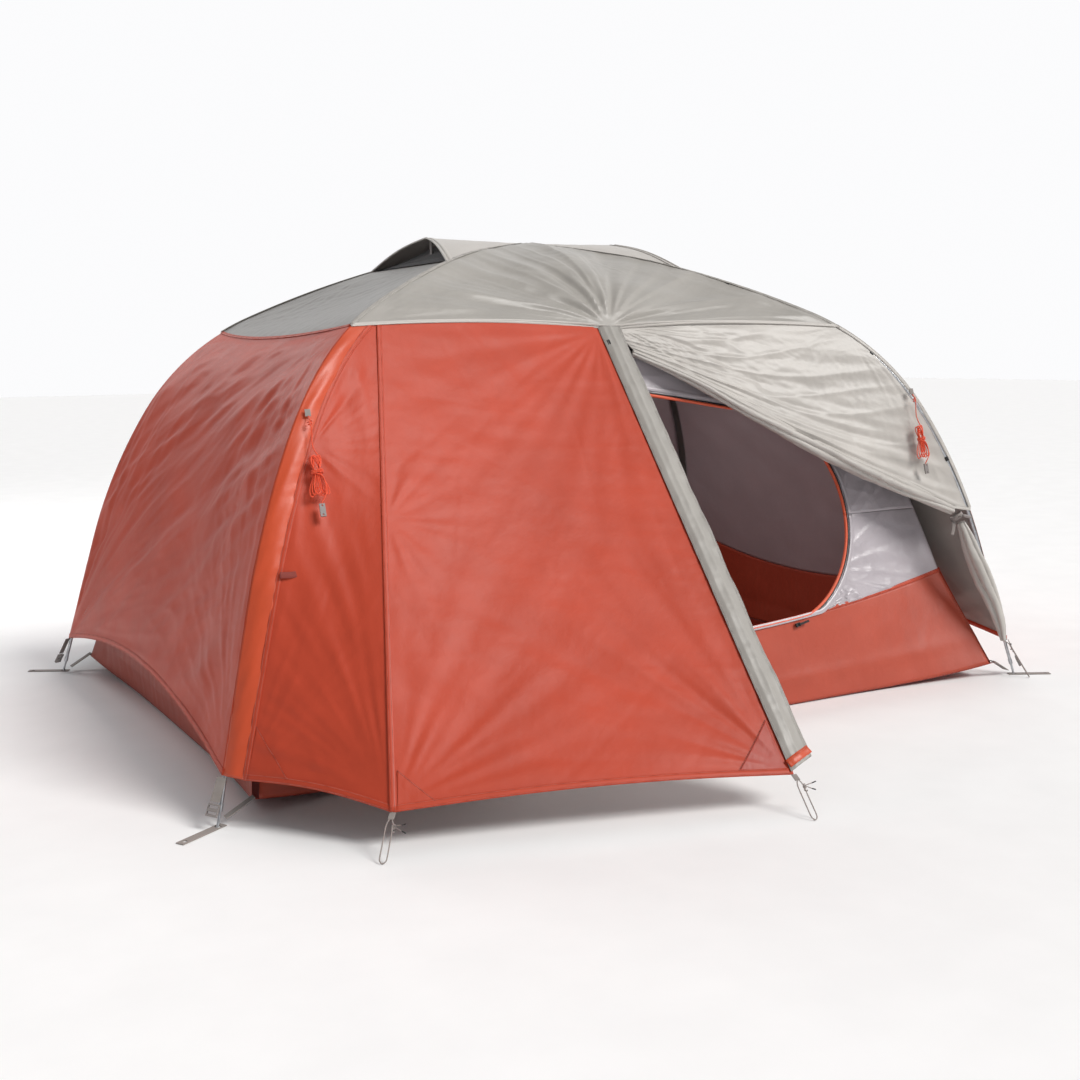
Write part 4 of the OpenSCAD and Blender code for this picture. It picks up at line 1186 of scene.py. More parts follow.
def corner_edges():
    """The pole's ridge and the stake seam, from the eave to the hem."""
    s = lines(CORNER_ROWS)
    ts = EAVE_T + (HEM_T - EAVE_T) * s
    ridge = arm_line(FL, ts)
    seam_top = eave(EAVE_LEFT, np.array([SEAM_START]))[0]
    drop = (seam_top[2] - ridge[:, 2]) / (seam_top[2] - SIDE_STAKE[2])
    seam = mix(seam_top, SIDE_STAKE, np.clip(mix(drop, s, s ** 3), 0, 1)[:, None])
    seam[0], seam[-1] = seam_top, SIDE_STAKE
    return ridge, seam


def corner_pieces(mirrored):
    """Band over the pole and corner panel, as grids, for the front left corner."""
    ridge, seam = corner_edges()
    width = np.linalg.norm(seam - ridge, axis=1)
    share = np.minimum(BAND_W / np.maximum(width, 1e-6), 0.85)[:, None]
    inner = mix(ridge, seam, share)
    band = ruled(ridge, inner, 14)
    panel = ruled(inner, seam, 66)
    w = SEAM_START * lines(66)
    fade = (1 - lines(CORNER_ROWS))[:, None, None] ** 6
    panel = panel + fade * (eave_bow(EAVE_LEFT, w))[None] * 0.6
    sag = np.sin(math.pi * lines(66))[None, :] * lines(CORNER_ROWS)[:, None] ** 6 * 0.012
    panel = panel + sag[..., None] * UP
    if mirrored:
        band, panel = flip_x(band), flip_x(panel)
    return band, panel


def main_panel():
    """Grid of the panel between the stake seam and the zip."""
    rows, cols = 200, 130
    s, v = lines(rows), lines(cols)
    w = SEAM_START + (1 - SEAM_START) * v
    seam_top = eave(EAVE_LEFT, np.array([SEAM_START]))[0]
    left = mix(seam_top, SIDE_STAKE, s[:, None])
    right = mix(ZIP_TOP, APEX, s[:, None])
    grid = ruled(left, right, cols)
    top_line = eave(EAVE_LEFT, w)
    straight = ruled(seam_top[None], ZIP_TOP[None], cols)[0]
    lift = (top_line - straight) * (1 - smooth((w - 0.9) / 0.1))[:, None]
    grid = grid + ((1 - s) ** 2.5)[:, None, None] * lift[None]
    grid = grid + (s ** 8)[:, None, None] * (0.014 * np.sin(math.pi * v))[None, :, None] * UP
    return grid


def add_vestibule(name, turned, seed):
    """Band over the pole, corner panel and main panel of one vestibule."""
    turn = half_turn if turned else (lambda points: points)
    out = turn((0, -1, 0.4))
    band_grid, panel_grid = corner_pieces(False)
    band = Cloth(turn(band_grid), turn((-0.4, -1, 0.5)), seed)
    band.height += 0.0055 * np.sin(math.pi * band.v) * smooth(band.s * 12)
    band.pucker("right", pitch=0.016, amount=0.0010, reach=0.03)
    band.pucker("left", pitch=0.018, amount=0.0010, reach=0.03)
    dents = noise(band.flat_y / 0.09 + band.v * 1.5, band.v * 2, seed + 8)
    band.height += 0.0016 * dents * smooth(band.s * 5)
    wrinkles = noise(band.flat_y / 0.02 + band.flat_x * 30, band.flat_x / 0.05, seed)
    band.height += 0.0010 * wrinkles * smooth(band.s * 3 - 0.6)
    # bright orange band: partly its own dye, partly painted glow of light shining through the cloth
    band_piece = shell(f"{name}_pole_band", band.points, "bright_orange", "coating", outward=band.normal)
    panel = Cloth(turn(panel_grid), out, seed + 1)
    panel.belly(0.003)
    panel.fan(0.99, 0.98, spread=13, amount=0.0045, reach=0.60, start=0.05, sharp=False)
    panel.fan(0.35, 0.02, spread=5, amount=0.0045, reach=0.22, sharp=False)
    panel.fan(0.99, 0.02, spread=7, amount=0.0030, reach=0.30)
    panel.folds(66, wave=0.050, amount=0.0034, stretch=6)
    panel.folds(60, wave=0.024, amount=0.0008, stretch=8)
    panel.crinkle(0.03, 0.0004)
    panel.creases(10, 0.0008, length=0.25)
    panel.pucker("left", pitch=0.013, amount=0.0012, reach=0.03)
    panel.pucker("right", pitch=0.011, amount=0.0014, reach=0.022)
    panel.pucker("bottom", pitch=0.012, amount=0.001)
    sewn(f"{name}_corner_cloth", panel, "orange", "coating", [f"{name}_corner_panel"])
    main = Cloth(turn(main_panel()), out, seed + 20)
    main.belly(0.016)
    main.fan(0.99, 0.01, spread=8, amount=0.0040, reach=0.45, start=0.05, sharp=False)
    main.fan(0.99, 0.99, spread=7, amount=0.0060, reach=0.60, start=0.05, sharp=False)
    main.fan(0.99, 0.99, spread=10, amount=0.0016, reach=0.45)
    main.fan(0.02, 0.98, spread=8, amount=0.0036, reach=0.60, sharp=False)
    main.fan(0.45, 0.01, spread=5, amount=0.0040, reach=0.18, sharp=False)
    main.folds(38, wave=0.110, amount=0.0034, stretch=5)
    main.folds(8, wave=0.040, amount=0.0010, stretch=5)
    main.crinkle(0.05, 0.0005)
    main.creases(40, 0.0009, length=0.6, width=0.003)
    main.pucker("left", pitch=0.011, amount=0.0012, reach=0.02)
    main.pucker("right", pitch=0.014, amount=0.0012, reach=0.03)
    main.pucker("bottom", pitch=0.014, amount=0.0008)
    main.pucker("top", pitch=0.014, amount=0.0008)
    sewn(f"{name}_panel_cloth", main, "orange", "coating", [f"{name}_panel"])
    sew_seam(panel.points[:, 0], panel.normal[:, 0], "orange", 0.012)
    sew_seam(main.points[:, 0], main.normal[:, 0], "orange", 0.012)
    hem(panel, "bottom", "orange")
    hem(main, "bottom", "orange")
    add_corner_patches(name, main, panel)


def patch_cloth(cloth, s0, v0, s1, v1, s2, v2):
    """A triangular reinforcement sewn on a panel, between three of its grid points."""
    rows, cols = cloth.points.shape[:2]

    def at(s, v):
        i = np.clip(s * (rows - 1), 0, rows - 1.001)
        j = np.clip(v * (cols - 1), 0, cols - 1.001)
        a, b = i.astype(int), j.astype(int)
        fa, fb = (i - a)[..., None], (j - b)[..., None]
        p = cloth.points + cloth.normal * 0.0012
        return (p[a, b] * (1 - fa) * (1 - fb) + p[a + 1, b] * fa * (1 - fb)
                + p[a, b + 1] * (1 - fa) * fb + p[a + 1, b + 1] * fa * fb)

    n = 24
    f, g = np.meshgrid(lines(n), lines(n), indexing="ij")
    f = 0.004 + 0.996 * f
    s = s0 + f * ((s1 - s0) + g * (s2 - s1))
    v = v0 + f * ((v1 - v0) + g * (v2 - v1))
    return at(s, v)


def add_corner_patches(name, main, panel):
    """Reinforcements where the zip, the stake loop and the pole foot pull on the panels."""
    zip_patch = patch_cloth(main, 0.995, 0.985, 0.90, 0.985, 0.990, 0.86)
    stake_patch = patch_cloth(main, 0.995, 0.012, 0.93, 0.012, 0.992, 0.10)
    foot_patch = patch_cloth(panel, 0.993, 0.02, 0.90, 0.02, 0.991, 0.30)
    for label, grid, color in (("zip", zip_patch, "dark_patch"), ("stake", stake_patch, "orange"),
                               ("foot", foot_patch, "orange")):
        piece = shell(f"{name}_{label}_patch", grid, color, color, 0.0007, main.normal.mean((0, 1)))
        n = main.normal.mean((0, 1))
        threads["thread"].stitches(resample(grid[-1], 30), n, 0.0, lift=0.0006)


add_roofs()
add_ends()
add_vestibule("front", False, 101)
add_vestibule("rear", True, 151)


# ======== Storm flap, doors and the tied-up roll ========
ZIP_DIR = unit(APEX - ZIP_TOP)
ZIP_OUT = unit(np.cross(ZIP_DIR, (1, 0, 0)))
ZIP_SIDE = np.cross(ZIP_OUT, ZIP_DIR) * np.sign(np.cross(ZIP_OUT, ZIP_DIR)[0])
FLAP_LIFT = 0.006


def add_storm_flap():
    """The narrow flap that covers the front zip."""
    rows, cols = 260, 26
    s, v = lines(rows), lines(cols)
    left = mix(ZIP_TOP, APEX - ZIP_DIR * 0.004, s[:, None]) - ZIP_SIDE * 0.006
    right = mix(ZIP_TOP, APEX - ZIP_DIR * 0.030, s[:, None]) + ZIP_SIDE * FLAP_W
    rise = 0.0035 + FLAP_LIFT * smooth(v * 4)
    grid = ruled(left, right, cols) + rise[None, :, None] * ZIP_OUT
    cloth = Cloth(grid, ZIP_OUT, 201)
    along = cloth.y
    cloth.height += 0.0035 * np.exp(-np.abs(cloth.v - 0.5) / 0.09)
    cloth.height += 0.0040 * cloth.v ** 2 * noise(along / 0.11, cloth.v * 0.5, 202)
    cloth.height += 0.0018 * noise(along / 0.045, cloth.v * 1.4, 203)
    cloth.height += 0.0007 * noise(along / 0.013, cloth.v * 3, 204)
    sewn("front_flap_cloth", cloth, "grey", "pale_grey", ["front_storm_flap"],
         thick=0.0010)
    for shift in (0.90, 0.97):
        line = mix(cloth.points[:, 0], cloth.points[:, -1], shift)
        threads["grey_thread"].stitches(line, cloth.normal[:, -1], 0.0, lift=0.0012)
    left_line = mix(cloth.points[:, 0], cloth.points[:, -1], 0.06)
    threads["grey_thread"].stitches(left_line, cloth.normal[:, 0], 0.0, lift=0.0012)
    low = mix(cloth.points[-1], cloth.points[-8], 0.5)
    seams["bright_orange"].ribbon(resample(low, 16), cloth.normal[-1].mean(0), 0.018, 0.0016, 0.0008)
    threads["thread"].stitches(resample(low, 12), cloth.normal[-1].mean(0), 0.005, lift=0.0026)


def door_panel():
    """Grid of the open door, from the brow end (u = 0) to the pole (u = 1)."""
    rows, cols = 130, 190
    u, w = lines(cols), lines(rows)
    top = eave(EAVE_RIGHT, 1 - u) - UP * 0.0012
    roll = curve_through(ROLL_PATH, 400)
    lift = np.interp(lines(400), lines(len(ROLL_RADII)), ROLL_RADII)
    roll = resample(roll + UP * (lift * 0.72)[:, None] + np.array((0, -0.3, 0)) * lift[:, None], cols)
    roll[0] = BROW_END + (0.022, -0.006, -0.016)
    pole = arm_line(FR, TIE_T + (EAVE_T - TIE_T) * (1 - w))
    pole[-1] = roll[-1]
    grid = top[None] * (1 - w)[:, None, None] + roll[None] * w[:, None, None]
    straight = mix(top[-1], roll[-1], w[:, None])
    grid = grid + (pole - straight)[:, None, :] * (u ** 2.2)[None, :, None]
    return grid


def add_door():
    """The open door: slack cloth between the eave, the pole and its own roll."""
    cloth = Cloth(door_panel(), (0.2, -1, 0.5), 221)
    u, w = cloth.v, cloth.s
    near_roll = np.exp(-(1 - w) / 0.30)
    band = np.sin(math.pi * np.clip(u, 0, 1)) ** 0.5
    swags = noise(w * 8.5 + u * 0.7, u * 1.6, 222)
    cloth.height += 0.013 * near_roll * band * swags * smooth((1 - w) / 0.05)
    pleats = noise(w * 17 + u * 1.8, u * 2.4, 223)
    cloth.height += 0.0048 * band * pleats * smooth((1 - w) / 0.03) * (0.3 + near_roll)
    crests = ridged(w * 6 + u * 2.2, u * 1.8, 224)
    cloth.height += 0.0042 * crests * band * smooth(w * 5) * smooth((1 - w) / 0.04)
    cloth.height -= 0.010 * np.sin(math.pi * np.clip(w, 0, 1)) * band
    cloth.height -= 0.0045 * np.exp(-w / 0.06) * smooth(w / 0.02) * band
    cloth.fan(0.02, 0.02, spread=9, amount=0.005, reach=0.35, sharp=False)
    cloth.fan(0.02, 0.99, spread=9, amount=0.003, reach=0.25)
    cloth.folds(28, wave=0.045, amount=0.0016, stretch=6)
    cloth.crinkle(0.04, 0.0007)
    cloth.creases(16, 0.0010, length=0.35)
    cloth.pucker("top", pitch=0.013, amount=0.0011, reach=0.03)
    cloth.pucker("right", pitch=0.014, amount=0.0010, reach=0.03)
    # the door takes the pale grey: painted light, a lit copy of the grey fly cloth
    sewn("front_door_cloth", cloth, "pale_grey", "coating", ["front_door_panel"],
         thick=FLY_T)
    sew_seam(cloth.points[:, -1], cloth.normal[:, -1], "pale_grey", 0.012, thread="grey_thread")
    return cloth


def circle(a, b, radius, count):
    """A closed circle round the origin, from its two axes."""
    turn = lines(count) * 2 * math.pi
    return radius * (a * np.cos(turn)[:, None] + b * np.sin(turn)[:, None])


def pleated_tube(path, radii, sides, rings, seed, lobes, depth):
    """A roll of loose cloth: long pleats that wander round it, deeper where it is loose."""
    line = resample(curve_through(path, rings), rings)
    radius = np.interp(lines(rings), lines(len(radii)), radii)
    angle = np.arange(sides) * 2 * math.pi / sides
    at = lines(rings)[:, None] * path_length(line)
    turn = angle[None, :] + 1.1 * noise(at / 0.35, at * 0, seed) + at * 1.4
    wander = noise(at / 0.16, np.cos(angle)[None] + at * 0, seed + 1)
    pleat = np.abs(np.sin(turn * lobes / 2 + 0.8 * wander))
    loose = noise(at / 0.12, np.cos(turn), seed + 2) * 0.10
    loose = loose + noise(at / 0.05, np.sin(turn) * 2, seed + 3) * 0.05
    fine = noise(at / 0.022, turn * 2.0 / 3, seed + 4) * 0.025
    shape = 1 - depth * (1 - pleat ** 0.7) + loose + fine
    return tube_mesh(line, radius, sides, shape)


BUNDLE_SLIM = 0.92


def add_rolls():
    """The rolled part of the door and the loose bundle that hangs below its tie."""
    verts, faces, uvs = pleated_tube(ROLL_PATH, ROLL_RADII, 72, 300, 241, 5, 0.34)
    roll = mesh_piece("front_roll_cloth", verts, faces, uvs, ("pale_grey",))
    bundle_radii = [r * BUNDLE_SLIM for r in BUNDLE_RADII]
    verts, faces, uvs = pleated_tube(BUNDLE_PATH, bundle_radii, 72, 170, 251, 4, 0.40)
    bundle = mesh_piece("front_bundle_cloth", verts, faces, uvs, ("pale_grey",))
    for piece, node in ((roll, "front_door_roll"), (bundle, "front_door_bundle")):
        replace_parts(piece, node)


def add_pull_tab():
    """A small folded tab on the seam beside the front left pole."""
    band, _ = corner_pieces(False)
    row = int(0.62 * (CORNER_ROWS - 1))
    root = band[row, -1] + (0, -0.006, 0.002)
    tab = Bag()
    out = unit((-0.15, -0.88, 0.42))
    ends = curve_through([root, root + (0.020, -0.004, -0.001), root + (0.038, -0.005, 0.0)], 16)
    tab.ribbon(ends, out, 0.013, 0.0022)
    tab.ribbon([ends[-1], ends[-1] + (0.004, 0, 0)], out, 0.008, 0.0022)
    tab.build("front_pull_tab", "rust_webbing", "webbing")


TOGGLE_R = 0.0042
TOGGLE_CORD_R = 0.0013
TIE_R = 0.0165


def add_tie():
    """The strap and toggle that hold the rolled door to the pole."""
    neck = np.array(TIE_POINT)
    axis = unit(np.array(BUNDLE_PATH[0]) - np.array(ROLL_PATH[-1]))
    a = unit(np.cross(axis, UP))
    b = np.cross(axis, a)
    strap = Bag()
    ring = neck + circle(a, b, TIE_R, 50)
    out = unit(ring - neck)
    strap.ribbon(ring, out, 0.012, 0.0018, 0.0)
    tail = [ring[12], ring[12] + (-0.004, -0.012, -0.014), ring[12] + (-0.007, -0.010, -0.042)]
    strap.ribbon(curve_through(tail, 14), (-0.2, -1, 0), 0.011, 0.0014)
    piece = strap.build("door_tie_strap", "webbing", "webbing")
    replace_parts(piece, "door_tie")
    toggle = Bag()
    start, end = neck + (-0.006, -0.026, 0.006), neck + (0.026, -0.030, -0.002)
    t = lines(20)
    rounded = np.sqrt(np.clip(1 - np.abs(2 * t - 1) ** 6, 0.02, 1))
    toggle.tube(mix(start, end, t[:, None]), TOGGLE_R * rounded, 16)
    string = [ring[0], ring[0] + (0.004, -0.010, 0.003), mix(start, end, 0.5)]
    toggle.tube(curve_through(string, 16), TOGGLE_CORD_R, 8)
    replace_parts(toggle.build("door_tie_toggle", "plastic", "grey_plastic"), "door_tie")


def add_rear_door():
    """The closed rear door with the corner and side panels beside it."""
    rows, cols = 170, 100
    s, v = lines(rows), lines(cols)
    band_grid, panel_grid = corner_pieces(True)
    out = (0, 1, 0.4)
    band = Cloth(half_turn(band_grid), out, 261)
    band.height += 0.0055 * np.sin(math.pi * band.v) * smooth(band.s * 12)
    band.pucker("left", pitch=0.016, amount=0.001, reach=0.03)
    band.pucker("right", pitch=0.016, amount=0.001, reach=0.03)
    piece = shell("rear_side_pole_band", band.points, "bright_orange", "coating", outward=band.normal)
    panel = Cloth(half_turn(panel_grid), out, 263)
    panel.belly(0.010)
    panel.fan(0.99, 0.98, spread=13, amount=0.0045, reach=0.60, sharp=False)
    panel.folds(60, wave=0.050, amount=0.0034, stretch=6)
    panel.crinkle(0.03, 0.0004)
    panel.pucker("left")
    panel.pucker("right")
    panel.pucker("bottom")
    side = shell("rear_side_corner_cloth", panel.points, "orange", "coating", outward=panel.normal)
    w = SEAM_START + (1 - SEAM_START) * v
    top = eave(EAVE_RIGHT, w) + smooth((w - 0.75) / 0.25)[:, None] * (ZIP_TOP - BROW_END)
    wedge = mix(top[None], FAR_STAKE, s[:, None, None] * 0.997)
    tri = Cloth(half_turn(wedge), out, 271)
    tri.belly(0.012)
    tri.fan(0.99, 0.5, spread=12, amount=0.005, reach=0.6, sharp=False)
    tri.fan(0.01, 0.99, spread=9, amount=0.003, reach=0.4)
    tri.folds(40, wave=0.07, amount=0.003)
    tri.crinkle(0.04, 0.0008)
    tri.creases(18, 0.0012)
    tri.pucker("left")
    tri.pucker("right")
    tri.pucker("top")
    sewn("rear_side_cloth", tri, "orange", "coating", ["rear_side_panel"])
    sew_seam(panel.points[:, 0], panel.normal[:, 0], "orange", 0.012)
    sew_seam(tri.points[:, 0], tri.normal[:, 0], "orange", 0.012)
    hem(panel, "bottom", "orange")
    f = 0.012 + 0.988 * s
    leaf = ruled(mix(ZIP_TOP, APEX, f[:, None]), mix(ZIP_TOP, FAR_STAKE, f[:, None]), cols)
    leaf = leaf + (s ** 8)[:, None, None] * (0.016 * np.sin(math.pi * v))[None, :, None] * UP
    door = Cloth(half_turn(leaf), out, 281)
    door.belly(0.010)
    door.fan(0.99, 0.01, spread=8, amount=0.005, reach=0.5, sharp=False)
    door.fan(0.99, 0.99, spread=9, amount=0.005, reach=0.5, sharp=False)
    door.fan(0.02, 0.5, spread=9, amount=0.003, reach=0.5)
    door.folds(35, wave=0.08, amount=0.003)
    door.crinkle(0.045, 0.0010)
    door.creases(30, 0.0013)
    door.pucker("left")
    door.pucker("bottom")
    door.pucker("right", pitch=0.014, amount=0.0006)
    sewn("rear_door_cloth", door, "orange", "coating", ["rear_door"],
         body="rear_door")
    edge = Bag()
    n = door.normal.mean((0, 1))
    short = int(cols * 0.86)
    edge.ribbon(resample(door.points[-1, :short] + UP * 0.006, 90), n, HEM_W, 0.0014, 0.0002)
    edge.ribbon(resample(door.points[:, 0], 90), n, SEAM_W, 0.0014, 0.0002)
    edge.build("rear_door_hem", "orange", "fly_orange", "rear_door")


add_storm_flap()
add_door()
add_rolls()
add_tie()
add_pull_tab()
add_rear_door()


# ======== Vent hoods ========
def add_vents():
    """The two hoods and the insect mesh under them."""
    vent_top = brow(1, 0)[2] - 0.003
    for name, side in (("left", -1), ("right", 1)):
        rows, half = 40, 36
        f = 0.05 + 0.95 * lines(rows)
        ridge = np.stack((side * VENT_X * f, 0 * f, vent_top + 0.006 * f), 1)
        parts = [ruled(arm_line((side, y), VENT_T * f), ridge, half) for y in (-1, 1)]
        grid = np.concatenate((parts[0], parts[1][:, -2::-1]), axis=1)
        q = np.linspace(-1, 1, grid.shape[1])
        dip = np.sin(math.pi * np.abs(q)) * 0.012
        grid = grid + (f[:, None] * dip[None])[..., None] * UP
        cloth = Cloth(grid, UP, 301 + side)
        cloth.fan(0.98, 0.5, spread=12, amount=0.0018, reach=0.15)
        cloth.folds(50, wave=0.03, amount=0.0010)
        cloth.crinkle(0.02, 0.0004)
        cloth.pucker("bottom", pitch=0.012, amount=0.0008, reach=0.02)
        points = cloth.points
        piece = shell(f"{name}_hood_cloth", points, "pale_grey", "coating", outward=UP)
        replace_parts(piece, f"{name}_vent_hood")
        rim = Bag()
        rim.tube(resample(points[-1], 80), 0.0028, 8)
        behind = resample(mix(points[-1], points[-3], 0.9), 70)
        rim.ribbon(behind, cloth.normal[-2].mean(0), 0.010, 0.0012, 0.0004)
        edge = rim.build(f"{name}_hood_rim", "pale_grey", "fly_grey")
        mesh_rows = 14
        cut = int(rows * 0.72)
        top_edge = points[cut] - UP * 0.002
        base = np.stack([mix(fly_arm((side, -1), 1.02), fly_arm((side, 1), 1.02), (k + 1) / 2) for k in q])
        net = ruled(top_edge, base, mesh_rows)
        mesh_panel = shell(f"{name}_hood_mesh", net, "mesh", "mesh", 0.0005, (side, 0, 0))
        hub_top = np.array((0, 0, HUB_Z + FLY_GAP + HUB_RISE))
        corner_a = fly_arm((side, -1), VENT_T)
        corner_b = fly_arm((side, 1), VENT_T)
        axis = unit(np.cross(corner_a - hub_top, corner_b - hub_top))
        axis = axis * np.sign(axis[2])
        for part in (piece, edge, mesh_panel):
            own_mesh(part)


add_vents()


# ======== Inner tent ========
DOOR_MID = DOOR_LOW + DOOR_R
WALL_HUB = np.array((0.12, 0.50))
WALL_INSET = 0.014
INNER_T = 0.0006


def up_wall(z):
    return z / math.cos(LEAN)


def wall_corners():
    us = np.linspace(-1, 1, 41)
    tub = [(u * (inner_x(tub_top(u)) - WALL_INSET), up_wall(tub_top(u) - 0.004)) for u in us]
    heights = (0.36, 0.42, 0.50, 0.56, 0.63, 0.70, 0.76, 0.82, INNER_TOP_Z)
    right = [(inner_x(z) - WALL_INSET, up_wall(z)) for z in heights]
    return np.array(tub + right + [(-x, y) for x, y in right[::-1]])


def door_corners(shrink=0.0):
    r = DOOR_R - shrink
    angles = np.radians(np.linspace(-90, 96, 94))
    arc = [(DOOR_X + r * math.cos(a), DOOR_MID + r * math.sin(a)) for a in angles]
    top = up_wall(DOOR_HIGH) - shrink
    arc += [(0.20, top - 0.026), (0.10, top - 0.010), (0.02, top), (-DOOR_X + shrink, top)]
    return np.array(arc + [(-DOOR_X + shrink, DOOR_LOW + shrink)])


def ray_hit(corners, angle):
    """Distance from the wall's hub to a closed outline along one direction."""
    d = np.array((math.cos(angle), math.sin(angle)))
    p, q = corners - WALL_HUB, np.roll(corners, -1, 0) - WALL_HUB
    e = q - p
    det = d[0] * e[:, 1] - d[1] * e[:, 0]
    det[np.abs(det) < 1e-12] = 1e-12
    r = (p[:, 0] * e[:, 1] - p[:, 1] * e[:, 0]) / det
    k = (p[:, 0] * d[1] - p[:, 1] * d[0]) / det
    hit = r[(k >= -1e-9) & (k <= 1 + 1e-9) & (r > 0)]
    return float(hit.max())


def outline_angles(*outlines):
    every = set(np.linspace(0, 2 * math.pi, 420, endpoint=False).round(6))
    for corners in outlines:
        for x, y in corners - WALL_HUB:
            every.add(round(math.atan2(y, x) % (2 * math.pi), 6))
    return np.array(sorted(every))


def loop_points(corners, angles):
    r = np.array([ray_hit(corners, a) for a in angles])
    return WALL_HUB + np.stack((np.cos(angles), np.sin(angles)), 1) * r[:, None]


def wall_height(x, up, seed):
    """Pulls and creases of the hanging inner wall."""
    pull_x, pull_up = 0.58, 0.34
    angle = np.arctan2(up - pull_up, x - pull_x)
    r = np.hypot(up - pull_up, x - pull_x)
    h = 0.006 * ridged(angle * 6, r * 2, seed) * np.exp(-r / 0.4) * smooth(r / 0.12)
    h += 0.006 * noise(x / 0.30 + up * 2, up / 0.16, seed + 1)
    h += 0.0016 * ridged(x / 0.10 + up * 4, up / 0.07, seed + 2)
    h += 0.0010 * noise(x / 0.025, up / 0.06, seed + 3)
    return h


def add_long_wall(name, turned, seed):
    """An inner wall with its doorway, the piping, zip and tape round it."""
    inner_loop = door_corners()
    outer_loop = wall_corners()
    angles = outline_angles(inner_loop, outer_loop)
    b = loop_points(outer_loop, angles)
    reach = np.linalg.norm(b - WALL_HUB, axis=1)
    a = loop_points(inner_loop, angles) - WALL_HUB
    a = WALL_HUB + a * np.minimum((reach - 0.002) / np.linalg.norm(a, axis=1), 1)[:, None]
    closed = np.concatenate((np.arange(len(angles)), [0]))
    rows = 44
    grid2 = a[closed][None] + (b - a)[closed][None] * lines(rows)[:, None, None]
    x, up = grid2[..., 0], grid2[..., 1]
    fade = smooth(lines(rows) * 8)[:, None] * smooth((1 - lines(rows)) * 8)[:, None]
    points = on_wall(x, up, wall_height(x, up, seed) * fade)
    outward = on_wall(0, 0, 1) - on_wall(0, 0, 0)
    if turned:
        points, outward = half_turn(points), half_turn(outward)
    uv = np.stack((x, up), -1)
    piece = shell(f"inner_{name}_wall_cloth", points, "lilac", "lilac", INNER_T, outward, uv)
    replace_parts(piece, f"inner_{name}_wall")
    trim, tape, zip_line = Bag(), Bag(), Bag()
    outline = a[closed]
    line = on_wall(outline[:, 0], outline[:, 1], 0.0)
    size = np.linalg.norm(outline - WALL_HUB, axis=1)
    room = np.minimum((size + 0.018) / size, (reach[closed] - 0.002) / size)
    wide = WALL_HUB + (outline - WALL_HUB) * room[:, None]
    beside = on_wall(wide[:, 0], wide[:, 1], 0.002)
    if turned:
        line, beside = half_turn(line), half_turn(beside)
    count = 260
    trim.tube(resample(line, count), 0.0042, 10)
    zip_line.tube(resample(mix(line, beside, 0.35), count), 0.0024, 6)
    tape.ribbon(resample(beside, count), outward, 0.012, 0.0012, 0.0006)
    color = "binding" if not turned else "black_tape"
    trim.build(f"inner_{name}_piping", color, "inner_cloth")
    zip_line.build(f"inner_{name}_zip", "black", "zip")
    tape.build(f"inner_{name}_tape", "lilac" if not turned else "black_tape", "inner_cloth")


def add_rear_inner_door():
    """The closed inner door in the rear wall."""
    shape = door_corners(0.004)
    limit = wall_corners()
    angles = outline_angles(shape)
    r = np.minimum([ray_hit(shape, a) for a in angles], [ray_hit(limit, a) - 0.002 for a in angles])
    closed = np.concatenate((np.arange(len(angles)), [0]))
    f = 0.004 + 0.996 * lines(50)
    ring = np.stack((np.cos(angles), np.sin(angles)), 1)[closed] * r[closed][:, None]
    flat = WALL_HUB + ring[None] * f[:, None, None]
    x, up = flat[..., 0], flat[..., 1]
    h = 0.010 * noise(x / 0.25, up / 0.30, 341) + wall_height(x, up, 343) * 0.8
    points = half_turn(on_wall(x, up, h * smooth((1 - f) * 7)[:, None]))
    outward = half_turn(on_wall(0, 0, 1) - on_wall(0, 0, 0))
    piece = shell("inner_rear_door_cloth", points, "lilac", "lilac", INNER_T, outward, flat,
                  "inner_rear_door")
    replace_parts(piece, "inner_rear_door")


def tub_foot(f, along, across, inset):
    return along * f, across - inset * (1 - f ** 4), FLOOR_T + CORNER_LIFT * np.abs(f) ** 6


